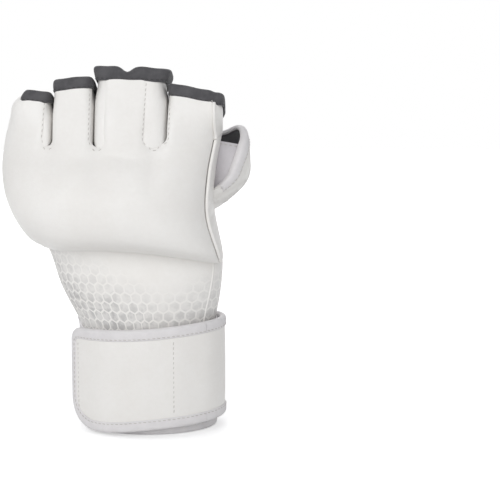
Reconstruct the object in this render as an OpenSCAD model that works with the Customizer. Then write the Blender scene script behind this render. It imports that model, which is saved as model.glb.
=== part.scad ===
// Padded open-palm grappling glove for the left hand, standing on its cuff.
// X runs to the thumb side, Y to the palm and Z to the fingertips.
// The origin is the middle of the wrist opening, on the plane that the cuff stands on.
// An angle round the hand is 0 at the thumb side, 90 at the palm, 180 at the little finger and 270 at the back.
// A box round the hand is [little-finger side, thumb side, back, palm].

/* [Leather and tape] */
// Thickness of the outer leather
leather_t = 1.5; // [1:0.1:2]
// Thickness of the black lining
lining_t = 1; // [0.6:0.1:1.4]
// Thickness of the edge tape
tape_t = 0.9; // [0.6:0.1:1.2]
// Width of the edge tape on each face
tape_w = 6; // [4.5:0.5:7]
// Clearance between neighbouring pieces
gap = 0.3; // [0.2:0.05:0.4]

/* [Cuff] */
// Outer width of the cuff
cuff_w = 80; // [74:1:90]
// Outer depth of the cuff
cuff_d = 57; // [52:1:64]
// Height of the cuff
cuff_h = 65; // [60:1:70]
// Thickness of the cuff wall
cuff_t = 3; // [2:0.5:4]

/* [Hand shell] */
// Height of the heel of the hand
heel_z = 88; // [82:1:94]
// Box of the hand at the heel
heel_box = [-54.5, 44, -27.5, 27]; // [-60:0.5:60]
// Height of the hand under the knuckle pad's lip
lip_z = 107; // [103:1:111]
// Box of the hand under the lip
lip_box = [-60.5, 44.5, -25.5, 23.5]; // [-70:0.5:60]
// Height of the crease across the base of the thumb
crease_z = 137; // [131:1:141]
// Box of the hand at the crease
crease_box = [-73, 37, -24, 19]; // [-80:0.5:60]
// Height of the hem under the fingers
hem_z = 164; // [159:1:168]
// Box of the hand at the hem
hem_box = [-79, 38, -22, 15]; // [-86:0.5:60]
// Height of the finger crease on the palm side
palm_flex_z = 186; // [182:1:190]
// Box of the hand at the finger crease
flex_box = [-79, 42, -21, 12]; // [-86:0.5:60]
// Fall of the finger crease from the palm to the back
flex_fall = 14; // [10:1:18]

/* [Knuckle pad] */
// Depth of the pad's front at its fullest, ahead of the wrist's middle
pad_front = 51; // [46:1:56]
// Depth of the pad's front where the fingers part
pad_flex_front = 38.5; // [35:0.5:42]
// Furthest reach of the pad past the little finger
pad_side = 87.9; // [84:0.5:91]
// Fall of the pad's lip towards the thumb, for each millimetre
lip_fall = 0.086; // [0.04:0.01:0.12]

/* [Finger stalls] */
// Rises of the back rims above the finger crease, little finger to index finger
stall_rises = [19, 26.5, 34, 21.5]; // [16:0.5:40]
// Falls of the rims from their backs to their palm sides, little finger to index finger
rim_falls = [12, 13, 8, 10]; // [6:1:14]
// Slopes of the back rims towards the thumb, little finger to index finger
rim_tilts = [-0.08, 0.1, -0.03, -0.19]; // [-0.25:0.01:0.25]
// Lines between the stalls: ring, middle and index finger's first edge
stall_edges = [-54.3, -29.8, 13]; // [-70:0.1:30]
// Spread of the little finger's rim on its palm side
little_flare = 8; // [4:0.5:10]
// Thumb-side edge of the index stall at its rim
index_edge = 45.5; // [42:0.5:48]
// Depth of the stall's back wall at its rim
rim_front = 27; // [25:0.5:29]
// Depth of the stall's palm side at its rim
rim_palm = 9; // [7:0.5:11]
// Depth of the finger pads' front just under the rim
tip_front = 32; // [30:0.5:35]
// First edges of the ring, middle and index finger's pads
pad_lefts = [-52.6, -24, 14.6]; // [-60:0.1:30]
// Last edges of the finger pads at the crease, little finger to index finger
pad_rights = [-58.5, -31.6, 0, 40]; // [-70:0.5:45]
// Last edges of the finger pads at the rim, little finger to index finger
pad_tip_rights = [-56.2, -31.4, 2, 38.5]; // [-70:0.1:45]

/* [Thumb] */
// Height of the thumb arch
arch_z = 186; // [180:1:190]
// Reach of the thumb panel past the wrist's middle
thumb_side = 62; // [58:0.5:66]
// Depth of the thumb panel's face
thumb_face = 35; // [32:0.5:38]
// Crown of the padding on the thumb and on its heel
thumb_crown = 8; // [5:0.5:11]

/* [Strap] */
// Width of the strap band
strap_w = 60; // [50:1:64]
// Thickness of the strap
strap_t = 2.2; // [1.6:0.2:3]
// Depth of the strap's middle line below the top of the cuff
strap_below = 29.5; // [27:0.5:31]
// Rise of the strap from the little-finger side to the thumb side
strap_rise = 5; // [0:1:12]
// Lift of the strap's free end off the wrist
strap_lift = 2; // [1:0.5:4]
// Thickness of each hook and loop sheet
fastener_t = 1.2; // [0.8:0.1:1.6]
// Lower corner radius of the free end
tab_low_r = 16; // [9:1:20]
// Upper corner radius of the free end
tab_high_r = 8; // [8:1:14]

/* [Hidden] */

white = [0.93, 0.92, 0.9];
pale_grey = [0.86, 0.85, 0.87];
dark_grey = [0.34, 0.34, 0.35];
black = [0.06, 0.06, 0.06];
foam_grey = [0.6, 0.6, 0.58];
patch_grey = [0.4, 0.41, 0.44];

// Finger numbers
LITTLE = 0;
RING = 1;
MIDDLE = 2;
INDEX = 3;

// The wall of a stall or panel, from its outer face to its lining's inner face
wall = leather_t + 3 * gap + lining_t;
// Half the opening of a seam between two panels, in degrees round the hand
seam = 0.4;
// Radius of the piping cord
piping_r = 1.2;
// Outline squareness, where 2 is an ellipse
stall_n = 3;
pad_n = 2.8;
thumb_n = 2.2;

function mix(a, b, t) = a + (b - a) * t;
function clamp01(t) = max(0, min(1, t));
function power(v, e) = sign(v) * pow(abs(v), e);
function steps(first, last, count) = [for (i = [0:count]) mix(first, last, i / count)];

// Smooth curve through [place, value] stations, where a value is a number or a list
function stretch(t, list, i = 0) =
    i >= len(list) - 2 || t < list[i + 1][0] ? i : stretch(t, list, i + 1);
function slope_at(list, i) =
    let (a = list[max(i - 1, 0)], b = list[min(i + 1, len(list) - 1)])
    (b[1] - a[1]) / (b[0] - a[0]);
function curve(t, list) =
    let (i = stretch(t, list), a = list[i], b = list[i + 1], h = b[0] - a[0], s = clamp01((t - a[0]) / h))
    (2 * s^3 - 3 * s^2 + 1) * a[1] + (s^3 - 2 * s^2 + s) * h * slope_at(list, i)
    + (3 * s^2 - 2 * s^3) * b[1] + (s^3 - s^2) * h * slope_at(list, i + 1);

// Point of a rounded outline round a box, at a distance outside it
function rim(box, n, phi, off) =
    let (a = (box[1] - box[0]) / 2 + off, b = (box[3] - box[2]) / 2 + off)
    [(box[0] + box[1]) / 2 + a * power(cos(phi), 2 / n), (box[2] + box[3]) / 2 + b * power(sin(phi), 2 / n)];

// Outer leather surface of the hand, from the cuff to the finger crease
cuff_box = [-cuff_w / 2, cuff_w / 2, -cuff_d / 2, cuff_d / 2];
hand_stations = [[cuff_h, cuff_box], [heel_z, heel_box], [lip_z, lip_box], [crease_z, crease_box],
    [hem_z, hem_box], [palm_flex_z, flex_box]];
hand_squareness = [[cuff_h, 2], [lip_z, 2.3], [palm_flex_z, 2.6]];
function hand(phi, z, off = 0) =
    let (p = rim(curve(z, hand_stations), curve(z, hand_squareness), phi, off))
    [p.x, p.y, z];

// The fingers bend about a line along the palm-side crease
flex_y = flex_box[3] + gap;
flex_slope = flex_fall / (flex_y + pad_flex_front);
function flex_z(y) = palm_flex_z + (y - flex_y) * flex_slope;

// Outer surface of the knuckle pad: v runs from the lip, 0, to the finger crease, 1
pad_mid_y = 2;
pad_side_share = [[0, 0.745], [0.07, 0.826], [0.27, 0.923], [0.49, 0.982], [0.72, 1], [0.86, 0.992],
    [1, 0.974]];
pad_front_rise = [[0, 0.3], [0.06, 0.6], [0.15, 0.84], [0.31, 0.98], [0.54, 1]];
pad_front_fall = [[0.54, 1], [0.77, 0.64], [1, 0]];
pad_root_front = -lip_box[2] + leather_t + gap;
function pad_depth(v) = v < 0.54
    ? mix(pad_root_front, pad_front, curve(v, pad_front_rise))
    : mix(pad_flex_front, pad_front, curve(v, pad_front_fall));
function pad_right(v) = curve(mix(lip_z, palm_flex_z, v), hand_stations)[1] + leather_t + 5 * gap;
function lip_height(x) = lip_z - lip_fall * x;
function pad(phi, v, off = 0) =
    let (box = [-pad_side * curve(v, pad_side_share), pad_right(v), -pad_depth(v), 2 * pad_mid_y + pad_depth(v)],
         p = rim(box, pad_n, phi, off))
    [p.x, p.y, mix(lip_height(p.x), flex_z(p.y) - gap, v)];

// Outer surface of a finger stall and of the finger's space: t runs from the crease, 0, to the rim, 1
stall_inset = tape_t + 2 * gap;
little_side_share = [[0, 0.974], [0.36, 0.948], [0.6, 0.91], [0.85, 0.862], [1, 0.83]];
function stall_left(f, t) = f == LITTLE
    ? -pad_side * curve(t, little_side_share) : stall_edges[f - 1] + stall_inset;
function stall_right(f, t) = f == INDEX ? mix(pad_right(1), index_edge, t) : stall_edges[f] - stall_inset;
stall_front = -flex_box[2] + wall;
function stall_box(f, t) = [stall_left(f, t), stall_right(f, t),
    mix(-stall_front, -rim_front, t), mix(flex_box[3], rim_palm, t)];
function space_box(f, t) = stall_box(f, t) + wall * [1, -1, 1, -1];
function stall_mid(f) = (stall_left(f, 1) + stall_right(f, 1)) / 2;
function palm_share(y) = (y + rim_front) / (rim_palm + rim_front);
function rim_z(f, p) = palm_flex_z + stall_rises[f] + rim_tilts[f] * (p.x - stall_mid(f))
    - rim_falls[f] * palm_share(p.y);
function in_stall(f, box, phi, t, off) =
    let (p = rim(box, stall_n, phi, off),
         flare = f == LITTLE ? little_flare * t * max(0, palm_share(p.y)) : 0,
         side = (stall_right(f, t) - p.x) / (stall_right(f, t) - stall_left(f, t)))
    [p.x - flare * side, p.y, mix(flex_z(p.y) + gap, rim_z(f, p), t)];
function stall(f, phi, t, off = 0) = in_stall(f, stall_box(f, t), phi, t, off);
function space(f, phi, t, off = 0) = in_stall(f, space_box(f, t), phi, t, off);
// Outer surface of a finger's pad, a half outline that stands on the stall's back wall
function tongue(f, phi, t, off = 0) =
    let (seat = -stall_box(f, t)[2] + gap,
         reach = mix(pad_flex_front, tip_front, t^1.4) - seat,
         left = f == LITTLE ? stall_left(f, t) + wall : pad_lefts[f - 1],
         box = [left, mix(pad_rights[f], pad_tip_rights[f], t), -seat - reach, reach - seat])
    in_stall(f, box, phi, t, off);

// Outer surface of the thumb panel, from the crease to the arch
thumb_stations = [[crease_z, [-17, 45, -10, 21]],
    [crease_z + 13, [-14, thumb_side - 4, -14, thumb_face - 4]],
    [crease_z + 28, [-13, thumb_side, -16, thumb_face]], [arch_z, [-10, thumb_side - 4, -17, thumb_face - 1]]];
function thumb(phi, z, off = 0) =
    let (p = rim(curve(z, thumb_stations), thumb_n, phi, off))
    [p.x, p.y, z];
// Height of the thumb's free edge round the arch, below its top
arch_drop = [[-25, 11], [-12, 4], [5, 0.3], [20, 0], [35, 1.2], [55, 4], [80, 4.5], [105, 6], [125, 12.5],
    [140, 23], [150, 36]];
function arch_top(phi) = arch_z - tape_t - gap - curve(phi, arch_drop);
thumb_first = -25;
thumb_last = 150;

// Upper edge of the lower palm, as [distance across, height above the crease]
palm_edge = [[-75, -9], [-62, -17], [-51, -26], [-42, -30.5], [-33, -26], [-24, -15], [-14, 0], [60, 0]];
palm_mid_z = 122;
function palm_top(phi) = min(crease_z - gap, crease_z + curve(hand(phi, palm_mid_z).x, palm_edge));

// Closed solid between two grids of points of one size
module slab(top, bottom) {
    rows = len(top);
    cols = len(top[0]);
    low = rows * cols;
    last = cols - 1;
    end = (rows - 1) * cols;
    polyhedron(
        [each [for (row = top) each row], each [for (row = bottom) each row]],
        [for (r = [0:rows - 2], c = [0:cols - 2]) let (i = r * cols + c) each [
            [i, i + cols, i + cols + 1], [i, i + cols + 1, i + 1],
            [low + i, low + i + cols + 1, low + i + cols], [low + i, low + i + 1, low + i + cols + 1]],
         for (c = [0:cols - 2]) each [
            [c, c + 1, low + c + 1], [c, low + c + 1, low + c],
            [end + c + 1, end + c, low + end + c], [end + c + 1, low + end + c, low + end + c + 1]],
         for (r = [0:rows - 2]) let (i = r * cols, j = i + last) each [
            [i + cols, i, low + i], [i + cols, low + i, low + i + cols],
            [j, j + cols, low + j + cols], [j, low + j + cols, low + j]]]);
}

// Closed ring whose section is the loop of points listed down each column
module hoop(loop) {
    rows = len(loop);
    cols = len(loop[0]);
    polyhedron([for (row = loop) each row],
        [for (r = [0:rows - 1], c = [0:cols - 1])
            let (d = (c + 1) % cols, q = (r + 1) % rows)
            each [[r * cols + c, q * cols + c, q * cols + d], [r * cols + c, q * cols + d, r * cols + d]]]);
}

// Level round rings along a path that climbs
module cord(path, r, sides) {
    end = (len(path) - 1) * sides;
    polyhedron([for (p = path, i = [0:sides - 1]) p + r * [cos(i * 360 / sides), sin(i * 360 / sides), 0]],
        [for (k = [0:len(path) - 2], i = [0:sides - 1])
            let (a = k * sides + i, b = k * sides + (i + 1) % sides)
            each [[a, a + sides, b + sides], [a, b + sides, b]],
         for (i = [1:sides - 2]) each [[0, i, i + 1], [end, end + i + 1, end + i]]]);
}

// Folded tape over an edge: each pair is the distance from the edge and the distance outside the surface
function tape_outside(t) = [[tape_w, gap + tape_t], [0, gap + tape_t], [-gap - tape_t, gap],
    [-gap - tape_t, -t - gap], [0, -t - gap - tape_t], [tape_w, -t - gap - tape_t]];
function tape_inside(t) = [[tape_w, gap], [0, gap], [-gap, gap / 2],
    [-gap, -t - gap / 2], [0, -t - gap], [tape_w, -t - gap]];

// Degrees round and millimetres up, for each millimetre inward from station j of an edge on surface f
function pace(f, p) = norm(f(p[0] + 1, p[1], 0) - f(p[0] - 1, p[1], 0)) / 2;
function inward(f, edge, j) =
    let (a = edge[max(j - 1, 0)], b = edge[min(j + 1, len(edge) - 1)], k = pace(f, edge[j]),
         d = [(b[0] - a[0]) * k, b[1] - a[1]] / norm([(b[0] - a[0]) * k, b[1] - a[1]]))
    [d[1] / k, -d[0]];

// Tape along an edge of surface f, whose panel lies to the right of the way the edge runs
module tape(f, edge, t) {
    function row(pair) = [for (j = [0:len(edge) - 1])
        let (p = edge[j] + inward(f, edge, j) * pair[0]) f(p[0], p[1], pair[1])];
    slab([for (pair = tape_outside(t)) row(pair)], [for (pair = tape_inside(t)) row(pair)]);
}

// Panel of one leather or lining thickness, over columns of angles and rows of heights up to each column's top
module panel(f, angles, rows, low, high, off, t) {
    function sheet(depth) = [for (s = rows) [for (phi = angles) f(phi, mix(low(phi), high(phi), s), depth)]];
    slab(sheet(off), sheet(off - t));
}

// Heights that hand panels run to
hand_low = function(phi) cuff_h + gap;
back_top = function(phi) flex_z(hand(phi, palm_flex_z - flex_fall).y) - gap;
hand_at = function(phi, z, off) hand(phi, z, off);
thumb_at = function(phi, z, off) thumb(phi, z, off);

// Knuckle pad

pad_seam = 336;
pad_angles = steps(180, pad_seam - 2, 20);
pad_rows = [0, 0.05, 0.14, 0.3, 0.52, 0.76, 1];

module knuckle_cover() {
    shelf = [for (phi = pad_angles)
        let (z = lip_height(hand(phi, lip_z).x), p = hand(phi, z + 2 * leather_t, 2 * gap)) [p.x, p.y, z]];
    outer = [shelf, each [for (v = pad_rows) [for (phi = pad_angles) pad(phi, v)]]];
    fold = [0, 0, leather_t];
    inner = [[for (p = shelf) p + fold], [for (phi = pad_angles) pad(phi, 0, -leather_t) + fold],
        each [for (v = [for (i = [1:len(pad_rows) - 1]) pad_rows[i]])
            [for (phi = pad_angles) pad(phi, v, -leather_t)]]];
    color(white) slab(outer, inner);
}

module knuckle_foam() {
    angles = [for (i = [1:len(pad_angles) - 2]) pad_angles[i]];
    rows = [0.14, 0.3, 0.52, 0.76, 0.99];
    outer = [for (v = rows) [for (phi = angles) pad(phi, v, -leather_t - gap)]];
    inner = [for (row = outer) [for (c = [0:len(angles) - 1]) hand(angles[c], row[c].z, 2 * gap)]];
    color(foam_grey) slab(outer, inner);
}

back_angles = steps(180 + seam, 360 - seam, 18);
module back_panel() {
    color(white) panel(hand_at, back_angles, steps(0, 1, 7), hand_low, back_top, 0, leather_t);
}

module back_lining() {
    color(black) panel(hand_at, [for (i = [1:len(back_angles) - 2]) back_angles[i]], steps(0, 1, 7),
        hand_low, back_top, -leather_t - gap, lining_t);
}

// Side of the index finger and hand, between the pad and the thumb
gusset_end = 361;
module index_gusset() {
    angles = steps(pad_seam + 2, gusset_end, 5);
    rows = steps(0.06, 1, 7);
    color(white) slab([for (v = rows) [for (phi = angles) pad(phi, v)]],
        [for (v = rows) [for (phi = angles) pad(phi, v, -leather_t)]]);
}

// Round cord sewn into the seam between the pad and the gusset
module side_piping() {
    color(white) cord([for (v = steps(0.06, 0.99, 12)) pad(pad_seam, v, piping_r - gap)], piping_r, 8);
}

// Palm side

palm_angles = [seam, 10, 21, 32, 43, 54, 64, 74, 84, 93, 96, 99, 103, 108, 115, 124, 134, 144, 154, 164, 173,
    180 - seam];

module palm_panel() {
    color(white) panel(hand_at, palm_angles, steps(0, 1, 6), hand_low, function(phi) palm_top(phi), 0, leather_t);
}

module palm_opening_tape() {
    edge = [for (phi = palm_angles) if (phi > 90) [phi, palm_top(phi)]];
    color(pale_grey) tape(hand_at, edge, leather_t);
}

// Narrow strip that closes the palm opening beside the little finger
ulnar_low_z = crease_z - 6;
ulnar_edge = 160;
module ulnar_strip() {
    color(white) panel(hand_at, [ulnar_edge, 173, 180 - seam], steps(0, 1, 4), function(phi) ulnar_low_z,
        function(phi) hem_z - tape_t - 3 * gap, 0, leather_t);
}

module ulnar_tape() {
    edge = [for (z = steps(ulnar_low_z, hem_z - tape_t - 3 * gap, 4)) [ulnar_edge, z]];
    color(pale_grey) tape(hand_at, edge, leather_t);
}

// Stitched eyelet slits that let the palm side of the fingers breathe
vents = [[-66, 179], [-33, 181], [0, 180]];
vent_w = 11;
vent_h = 3;
module vent_cutter() {
    r = (vent_w^2 / 4 + vent_h^2 / 4) / vent_h;
    for (v = vents) translate([v.x, 0, v.y]) rotate([-90, 0, 0]) linear_extrude(thumb_face)
        intersection() {
            translate([0, r - vent_h / 2]) circle(r, $fn = 48);
            translate([0, vent_h / 2 - r]) circle(r, $fn = 48);
        }
}

finger_palm_angles = steps(seam, 180 - seam, 20);
finger_palm_top = function(phi) flex_z(hand(phi, palm_flex_z).y) - gap;
hem_first = 27;
module finger_palm_panel() {
    color(white) difference() {
        panel(hand_at, finger_palm_angles, steps(0, 1, 2), function(phi) hem_z,
            finger_palm_top, 0, leather_t);
        vent_cutter();
    }
}

module palm_hem_tape() {
    edge = [for (phi = steps(180 - seam, hem_first, 17)) [phi, hem_z]];
    color(pale_grey) tape(hand_at, edge, leather_t);
}

// Padding over a panel f, from its right to its left edge: full in the middle and thin at its seams
pad_us = steps(0, 1, 8);
pad_vs = steps(0, 1, 7);
function crown(u, v) = thumb_crown * pow(sin(180 * u) * sin(180 * v), 0.55);
function pad_point(f, left, right, low, high, u, v, off) =
    let (phi = mix(right(v), left(v), u)) f(phi, mix(low(phi), high(phi), v), off);

module padded_cover(f, left, right, low, high) {
    function sheet(off) = [for (v = pad_vs) [for (u = pad_us)
        pad_point(f, left, right, low, high, u, v, off + crown(u, v))]];
    color(white) slab(sheet(2 * gap + leather_t), sheet(2 * gap));
}

module padded_foam(f, left, right, low, high) {
    us = [for (i = [1:len(pad_us) - 2]) pad_us[i]];
    vs = [for (i = [1:len(pad_vs) - 2]) pad_vs[i]];
    color(foam_grey) slab(
        [for (v = vs) [for (u = us) pad_point(f, left, right, low, high, u, v, 1.5 * gap + crown(u, v))]],
        [for (v = vs) [for (u = us) pad_point(f, left, right, low, high, u, v, 1.5 * gap)]]);
}

// Heel of the thumb: a wedge of padding that narrows towards the wrist
heel_left = function(v) mix(66, 77, v);
heel_right = function(v) mix(56, 15, v);
heel_low = function(phi) heel_z;
heel_high = function(phi) crease_z - 3 * gap;
module thumb_heel_cover() padded_cover(hand_at, heel_left, heel_right, heel_low, heel_high);
module thumb_heel_foam() padded_foam(hand_at, heel_left, heel_right, heel_low, heel_high);

// Cuff and the fixed part of the strap

function cuff_outline(off) = [for (i = [0:59]) rim(cuff_box, 2, i * 6, off)];
module cuff_ring(out, in, low, high) {
    translate([0, 0, low]) linear_extrude(high - low) difference() {
        polygon(cuff_outline(out));
        polygon(cuff_outline(in));
    }
}

module cuff() {
    color(white) cuff_ring(0, -cuff_t, tape_t + gap, cuff_h);
}

module cuff_rim_tape() {
    color(pale_grey) difference() {
        cuff_ring(gap + tape_t, -cuff_t - gap - tape_t, 0, tape_w);
        cuff_ring(gap, -cuff_t - gap, tape_t, tape_w + 1);
    }
}

// Tape over the seam between the cuff and the hand panels
module cuff_seam_tape() {
    angles = [for (i = [0:35]) i * 10];
    low = cuff_h - tape_w / 2;
    high = cuff_h + tape_w / 2;
    function row(z, off) = [for (phi = angles) let (p = hand(phi, max(z, cuff_h), off)) [p.x, p.y, z]];
    color(pale_grey) hoop([row(low, gap + tape_t), row(cuff_h, gap + tape_t), row(high, gap + tape_t),
        row(high, gap), row(cuff_h, gap), row(low, gap)]);
}

// Strap surface: off is measured from the strap's inner face
under_strap = tape_t + 4 * gap + tape_t;
over_fastener = 2 * fastener_t + 4 * gap + tape_t;
strap_end = 194;
strap_flex = 288;
strap_hinge = 345;
strap_start = 518;
strap_offs = [[strap_end, over_fastener + strap_lift], [strap_end + 24, over_fastener], [330, over_fastener],
    [375, under_strap], [strap_start, under_strap]];
strap_z = cuff_h - strap_below;
function strap_mid(x) = strap_z + strap_rise * x / cuff_w;
function strap(phi, h, off = 0) =
    let (p = rim(cuff_box, 2, phi, curve(phi, strap_offs) + off))
    [p.x, p.y, strap_mid(p.x) + h];
strap_at = function(phi, h, off) strap(phi, h, off);

module loop_panel() {
    angles = steps(strap_end + 11, strap_hinge - 20, 12);
    edge_z = strap_w / 2 - tape_w - 2;
    function sheet(off) = [for (h = [-edge_z, edge_z]) [for (phi = angles)
        let (p = rim(cuff_box, 2, phi, off)) [p.x, p.y, strap_mid(p.x) + h]]];
    color(black) slab(sheet(gap + fastener_t), sheet(gap));
}

// Band of strap between two angles
module strap_band(first, last, count) {
    angles = steps(first, last, count);
    color(white) slab([for (h = [-0.5, 0, 0.5]) [for (phi = angles) strap(phi, h * strap_w, strap_t)]],
        [for (h = [-0.5, 0, 0.5]) [for (phi = angles) strap(phi, h * strap_w)]]);
}

module strap_band_tapes(first, last, count) {
    angles = steps(first, last, count);
    shifted = function(phi, h, off) strap(phi, h, off + strap_t);
    color(pale_grey) {
        tape(shifted, [for (phi = angles) [phi, strap_w / 2]], strap_t);
        tape(shifted, [for (i = [count:-1:0]) [angles[i], -strap_w / 2]], strap_t);
    }
}

hinge_gap = 0.4;
module strap_base() strap_band(strap_hinge + hinge_gap, strap_start, 26);
module strap_base_tape() strap_band_tapes(strap_hinge + hinge_gap, strap_start, 26);
module strap_wrap() strap_band(strap_flex + hinge_gap, strap_hinge - hinge_gap, 9);
module strap_wrap_tape() strap_band_tapes(strap_flex + hinge_gap, strap_hinge - hinge_gap, 9);

// Plain sewn patch on the palm side of the strap
patch_h = 20;
patch_first = 422;
patch_last = 505;
module wrist_patch() {
    angles = steps(patch_first, patch_last, 12);
    off = strap_t + gap;
    color(patch_grey) slab([for (h = [-0.5, 0.5]) [for (phi = angles) strap(phi, h * patch_h, off + 1)]],
        [for (h = [-0.5, 0.5]) [for (phi = angles) strap(phi, h * patch_h, off)]]);
}

// Free end of the strap, with its two rounded corners
function tab_run(phi) = (phi - strap_end) * pace(strap_at, [strap_end + 15, 0]);
function corner(r, s) = s < r ? r - sqrt(r^2 - (r - s)^2) : 0;
function tab_low(phi) = -strap_w / 2 + corner(tab_low_r, tab_run(phi));
function tab_high(phi) = strap_w / 2 - corner(tab_high_r, tab_run(phi));
tab_steps = [0, 0.7, 2, 4.5, 8, 12.5, 18, 25, 34, 45, 57, 70, 82];
tab_angles = [for (d = tab_steps) strap_end + d, strap_flex - hinge_gap];
module strap_tab() {
    function sheet(off) = [for (s = [0, 0.5, 1]) [for (phi = tab_angles)
        strap(phi, mix(tab_low(phi), tab_high(phi), s), off)]];
    color(white) slab(sheet(strap_t), sheet(0));
}

module strap_tab_tape() {
    shifted = function(phi, h, off) strap(phi, h, off + strap_t);
    edge = [for (i = [len(tab_angles) - 1:-1:0]) [tab_angles[i], tab_low(tab_angles[i])],
        for (phi = tab_angles) [phi, tab_high(phi)]];
    color(pale_grey) tape(shifted, edge, strap_t);
}

module hook_panel() {
    angles = steps(strap_end + 17, strap_flex - 3, 8);
    edge_h = strap_w / 2 - tape_w - 2;
    function sheet(off) = [for (h = [-edge_h, edge_h]) [for (phi = angles) strap(phi, h, off)]];
    color(black) slab(sheet(-gap), sheet(-gap - fastener_t));
}

// Finger stalls

stall_angles = [for (i = [0:19]) i * 18];

// Share of a stall's height where its tape ends, at an angle round the finger
function tape_low(f, phi) =
    let (p = stall(f, phi, 1)) max(0.08, 1 - tape_w / (p.z - flex_z(p.y)));

module finger_stall(f) {
    function row(k, off) = [for (phi = stall_angles) stall(f, phi, [0, tape_low(f, phi), 1][k], off)];
    color(white) hoop([each [for (k = [0:2]) row(k, 0)], each [for (k = [2:-1:0]) row(k, -leather_t)]]);
}

module finger_lining(f) {
    function row(k, off) = [for (phi = stall_angles) space(f, phi, [0, tape_low(f, phi), 1][k], off)];
    color(black) hoop([each [for (k = [0:2]) row(k, lining_t)], each [for (k = [2:-1:0]) row(k, 0)]]);
}

// Padded tongue on the back of a finger, closed at its tip under the tape
tongue_angles = steps(180, 360, 10);
function tongue_rows(f) = (tape_low(f, 270) - 0.03) * [0, 0.4, 0.75, 0.94, 1];
tongue_squeeze = [0, 0, 0.25, 0.8, 2];
module finger_pad_cover(f) {
    rows = tongue_rows(f);
    function sheet(off) = [for (i = [0:len(rows) - 1]) [for (phi = tongue_angles)
        tongue(f, phi, rows[i], off - tongue_squeeze[i])]];
    color(white) slab(sheet(0), sheet(-leather_t));
}

module finger_foam(f) {
    rows = tongue_rows(f);
    inner = [0:len(rows) - 2];
    top = [for (i = inner) [for (j = [1:len(tongue_angles) - 2])
        tongue(f, tongue_angles[j], rows[i], -leather_t - gap - tongue_squeeze[i])]];
    color(foam_grey) slab(top, [for (i = inner) [for (p = top[i])
        let (y = stall_box(f, rows[i])[2] - gap)
        [p.x, y, mix(flex_z(y) + gap, rim_z(f, [p.x, y]), rows[i])]]]);
}

// Tape folded over the rim of a stall, outside the leather and inside the lining
module finger_tape(f) {
    function out(k, off) = [for (phi = stall_angles) stall(f, phi, [tape_low(f, phi), 1][k], off)];
    function in(k, off) = [for (phi = stall_angles) space(f, phi, [tape_low(f, phi), 1][k], off)];
    function lift(row, h) = [for (p = row) p + [0, 0, h]];
    color(dark_grey) hoop([out(0, gap + tape_t), out(1, gap + tape_t), lift(out(1, gap), gap + tape_t),
        lift(in(1, -gap), gap + tape_t), in(1, -gap - tape_t), in(0, -gap - tape_t),
        in(0, -gap), lift(in(1, -gap), gap / 2), lift(out(1, gap), gap / 2), out(0, gap)]);
}

// Thumb

thumb_angles = [-25, -16, -7, 2, 12, 24, 38, 54, 70, 86, 100, 112, 122, 131, 138, 144, 150];
thumb_low = function(phi) crease_z + gap;
thumb_top = function(phi) arch_top(phi);

module thumb_panel() {
    color(white) panel(thumb_at, thumb_angles, steps(0, 1, 6), thumb_low, thumb_top, 0, leather_t);
}

module thumb_lining() {
    color(black) panel(thumb_at, thumb_angles, steps(0, 1, 6), thumb_low, thumb_top, -leather_t - gap, lining_t);
}

module thumb_tape() {
    edge = [for (phi = thumb_angles) [phi, arch_top(phi)]];
    color(pale_grey) tape(thumb_at, edge, leather_t + gap + lining_t);
}

// Short panel that closes the thumb towards the side of the index finger
web_x = 45.5;
web_y = -7;
module thumb_back_panel() {
    function face(depth) = [for (z = steps(crease_z + 12, arch_top(thumb_first) - gap, 3)) [for (s = steps(0, 1, 4))
        let (root = thumb(thumb_first - 4, z)) [mix(web_x, root.x, s), mix(web_y, root.y, s) + depth, z]]];
    color(white) slab(face(0), face(leather_t));
}

// Padding over the face of the thumb
thumb_pad_lefts = [128, 108];
thumb_pad_rights = [12, 30];
pad_left = function(v) mix(thumb_pad_lefts[0], thumb_pad_lefts[1], v);
pad_right_edge = function(v) mix(thumb_pad_rights[0], thumb_pad_rights[1], v);
pad_low = function(phi) crease_z + 3 * gap;
pad_high = function(phi) arch_top(phi) - tape_w - 4 * gap;
module thumb_pad_cover() padded_cover(thumb_at, pad_left, pad_right_edge, pad_low, pad_high);
module thumb_pad_foam() padded_foam(thumb_at, pad_left, pad_right_edge, pad_low, pad_high);

knuckle_cover();
knuckle_foam();
back_panel();
back_lining();
index_gusset();
side_piping();
palm_panel();
palm_opening_tape();
ulnar_strip();
ulnar_tape();
finger_palm_panel();
palm_hem_tape();
thumb_heel_cover();
thumb_heel_foam();
cuff();
cuff_rim_tape();
cuff_seam_tape();
loop_panel();
strap_base();
strap_base_tape();
wrist_patch();
finger_stall(LITTLE);  // little_stall
finger_lining(LITTLE);  // little_lining
finger_pad_cover(LITTLE);  // little_pad_cover
finger_foam(LITTLE);  // little_foam
finger_tape(LITTLE);  // little_tape
finger_stall(RING);  // ring_stall
finger_lining(RING);  // ring_lining
finger_pad_cover(RING);  // ring_pad_cover
finger_foam(RING);  // ring_foam
finger_tape(RING);  // ring_tape
finger_stall(MIDDLE);  // middle_stall
finger_lining(MIDDLE);  // middle_lining
finger_pad_cover(MIDDLE);  // middle_pad_cover
finger_foam(MIDDLE);  // middle_foam
finger_tape(MIDDLE);  // middle_tape
finger_stall(INDEX);  // index_stall
finger_lining(INDEX);  // index_lining
finger_pad_cover(INDEX);  // index_pad_cover
finger_foam(INDEX);  // index_foam
finger_tape(INDEX);  // index_tape
thumb_panel();
thumb_lining();
thumb_back_panel();
thumb_pad_cover();
thumb_pad_foam();
thumb_tape();
strap_wrap();
strap_wrap_tape();
strap_tab();
strap_tab_tape();
hook_panel();
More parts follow.
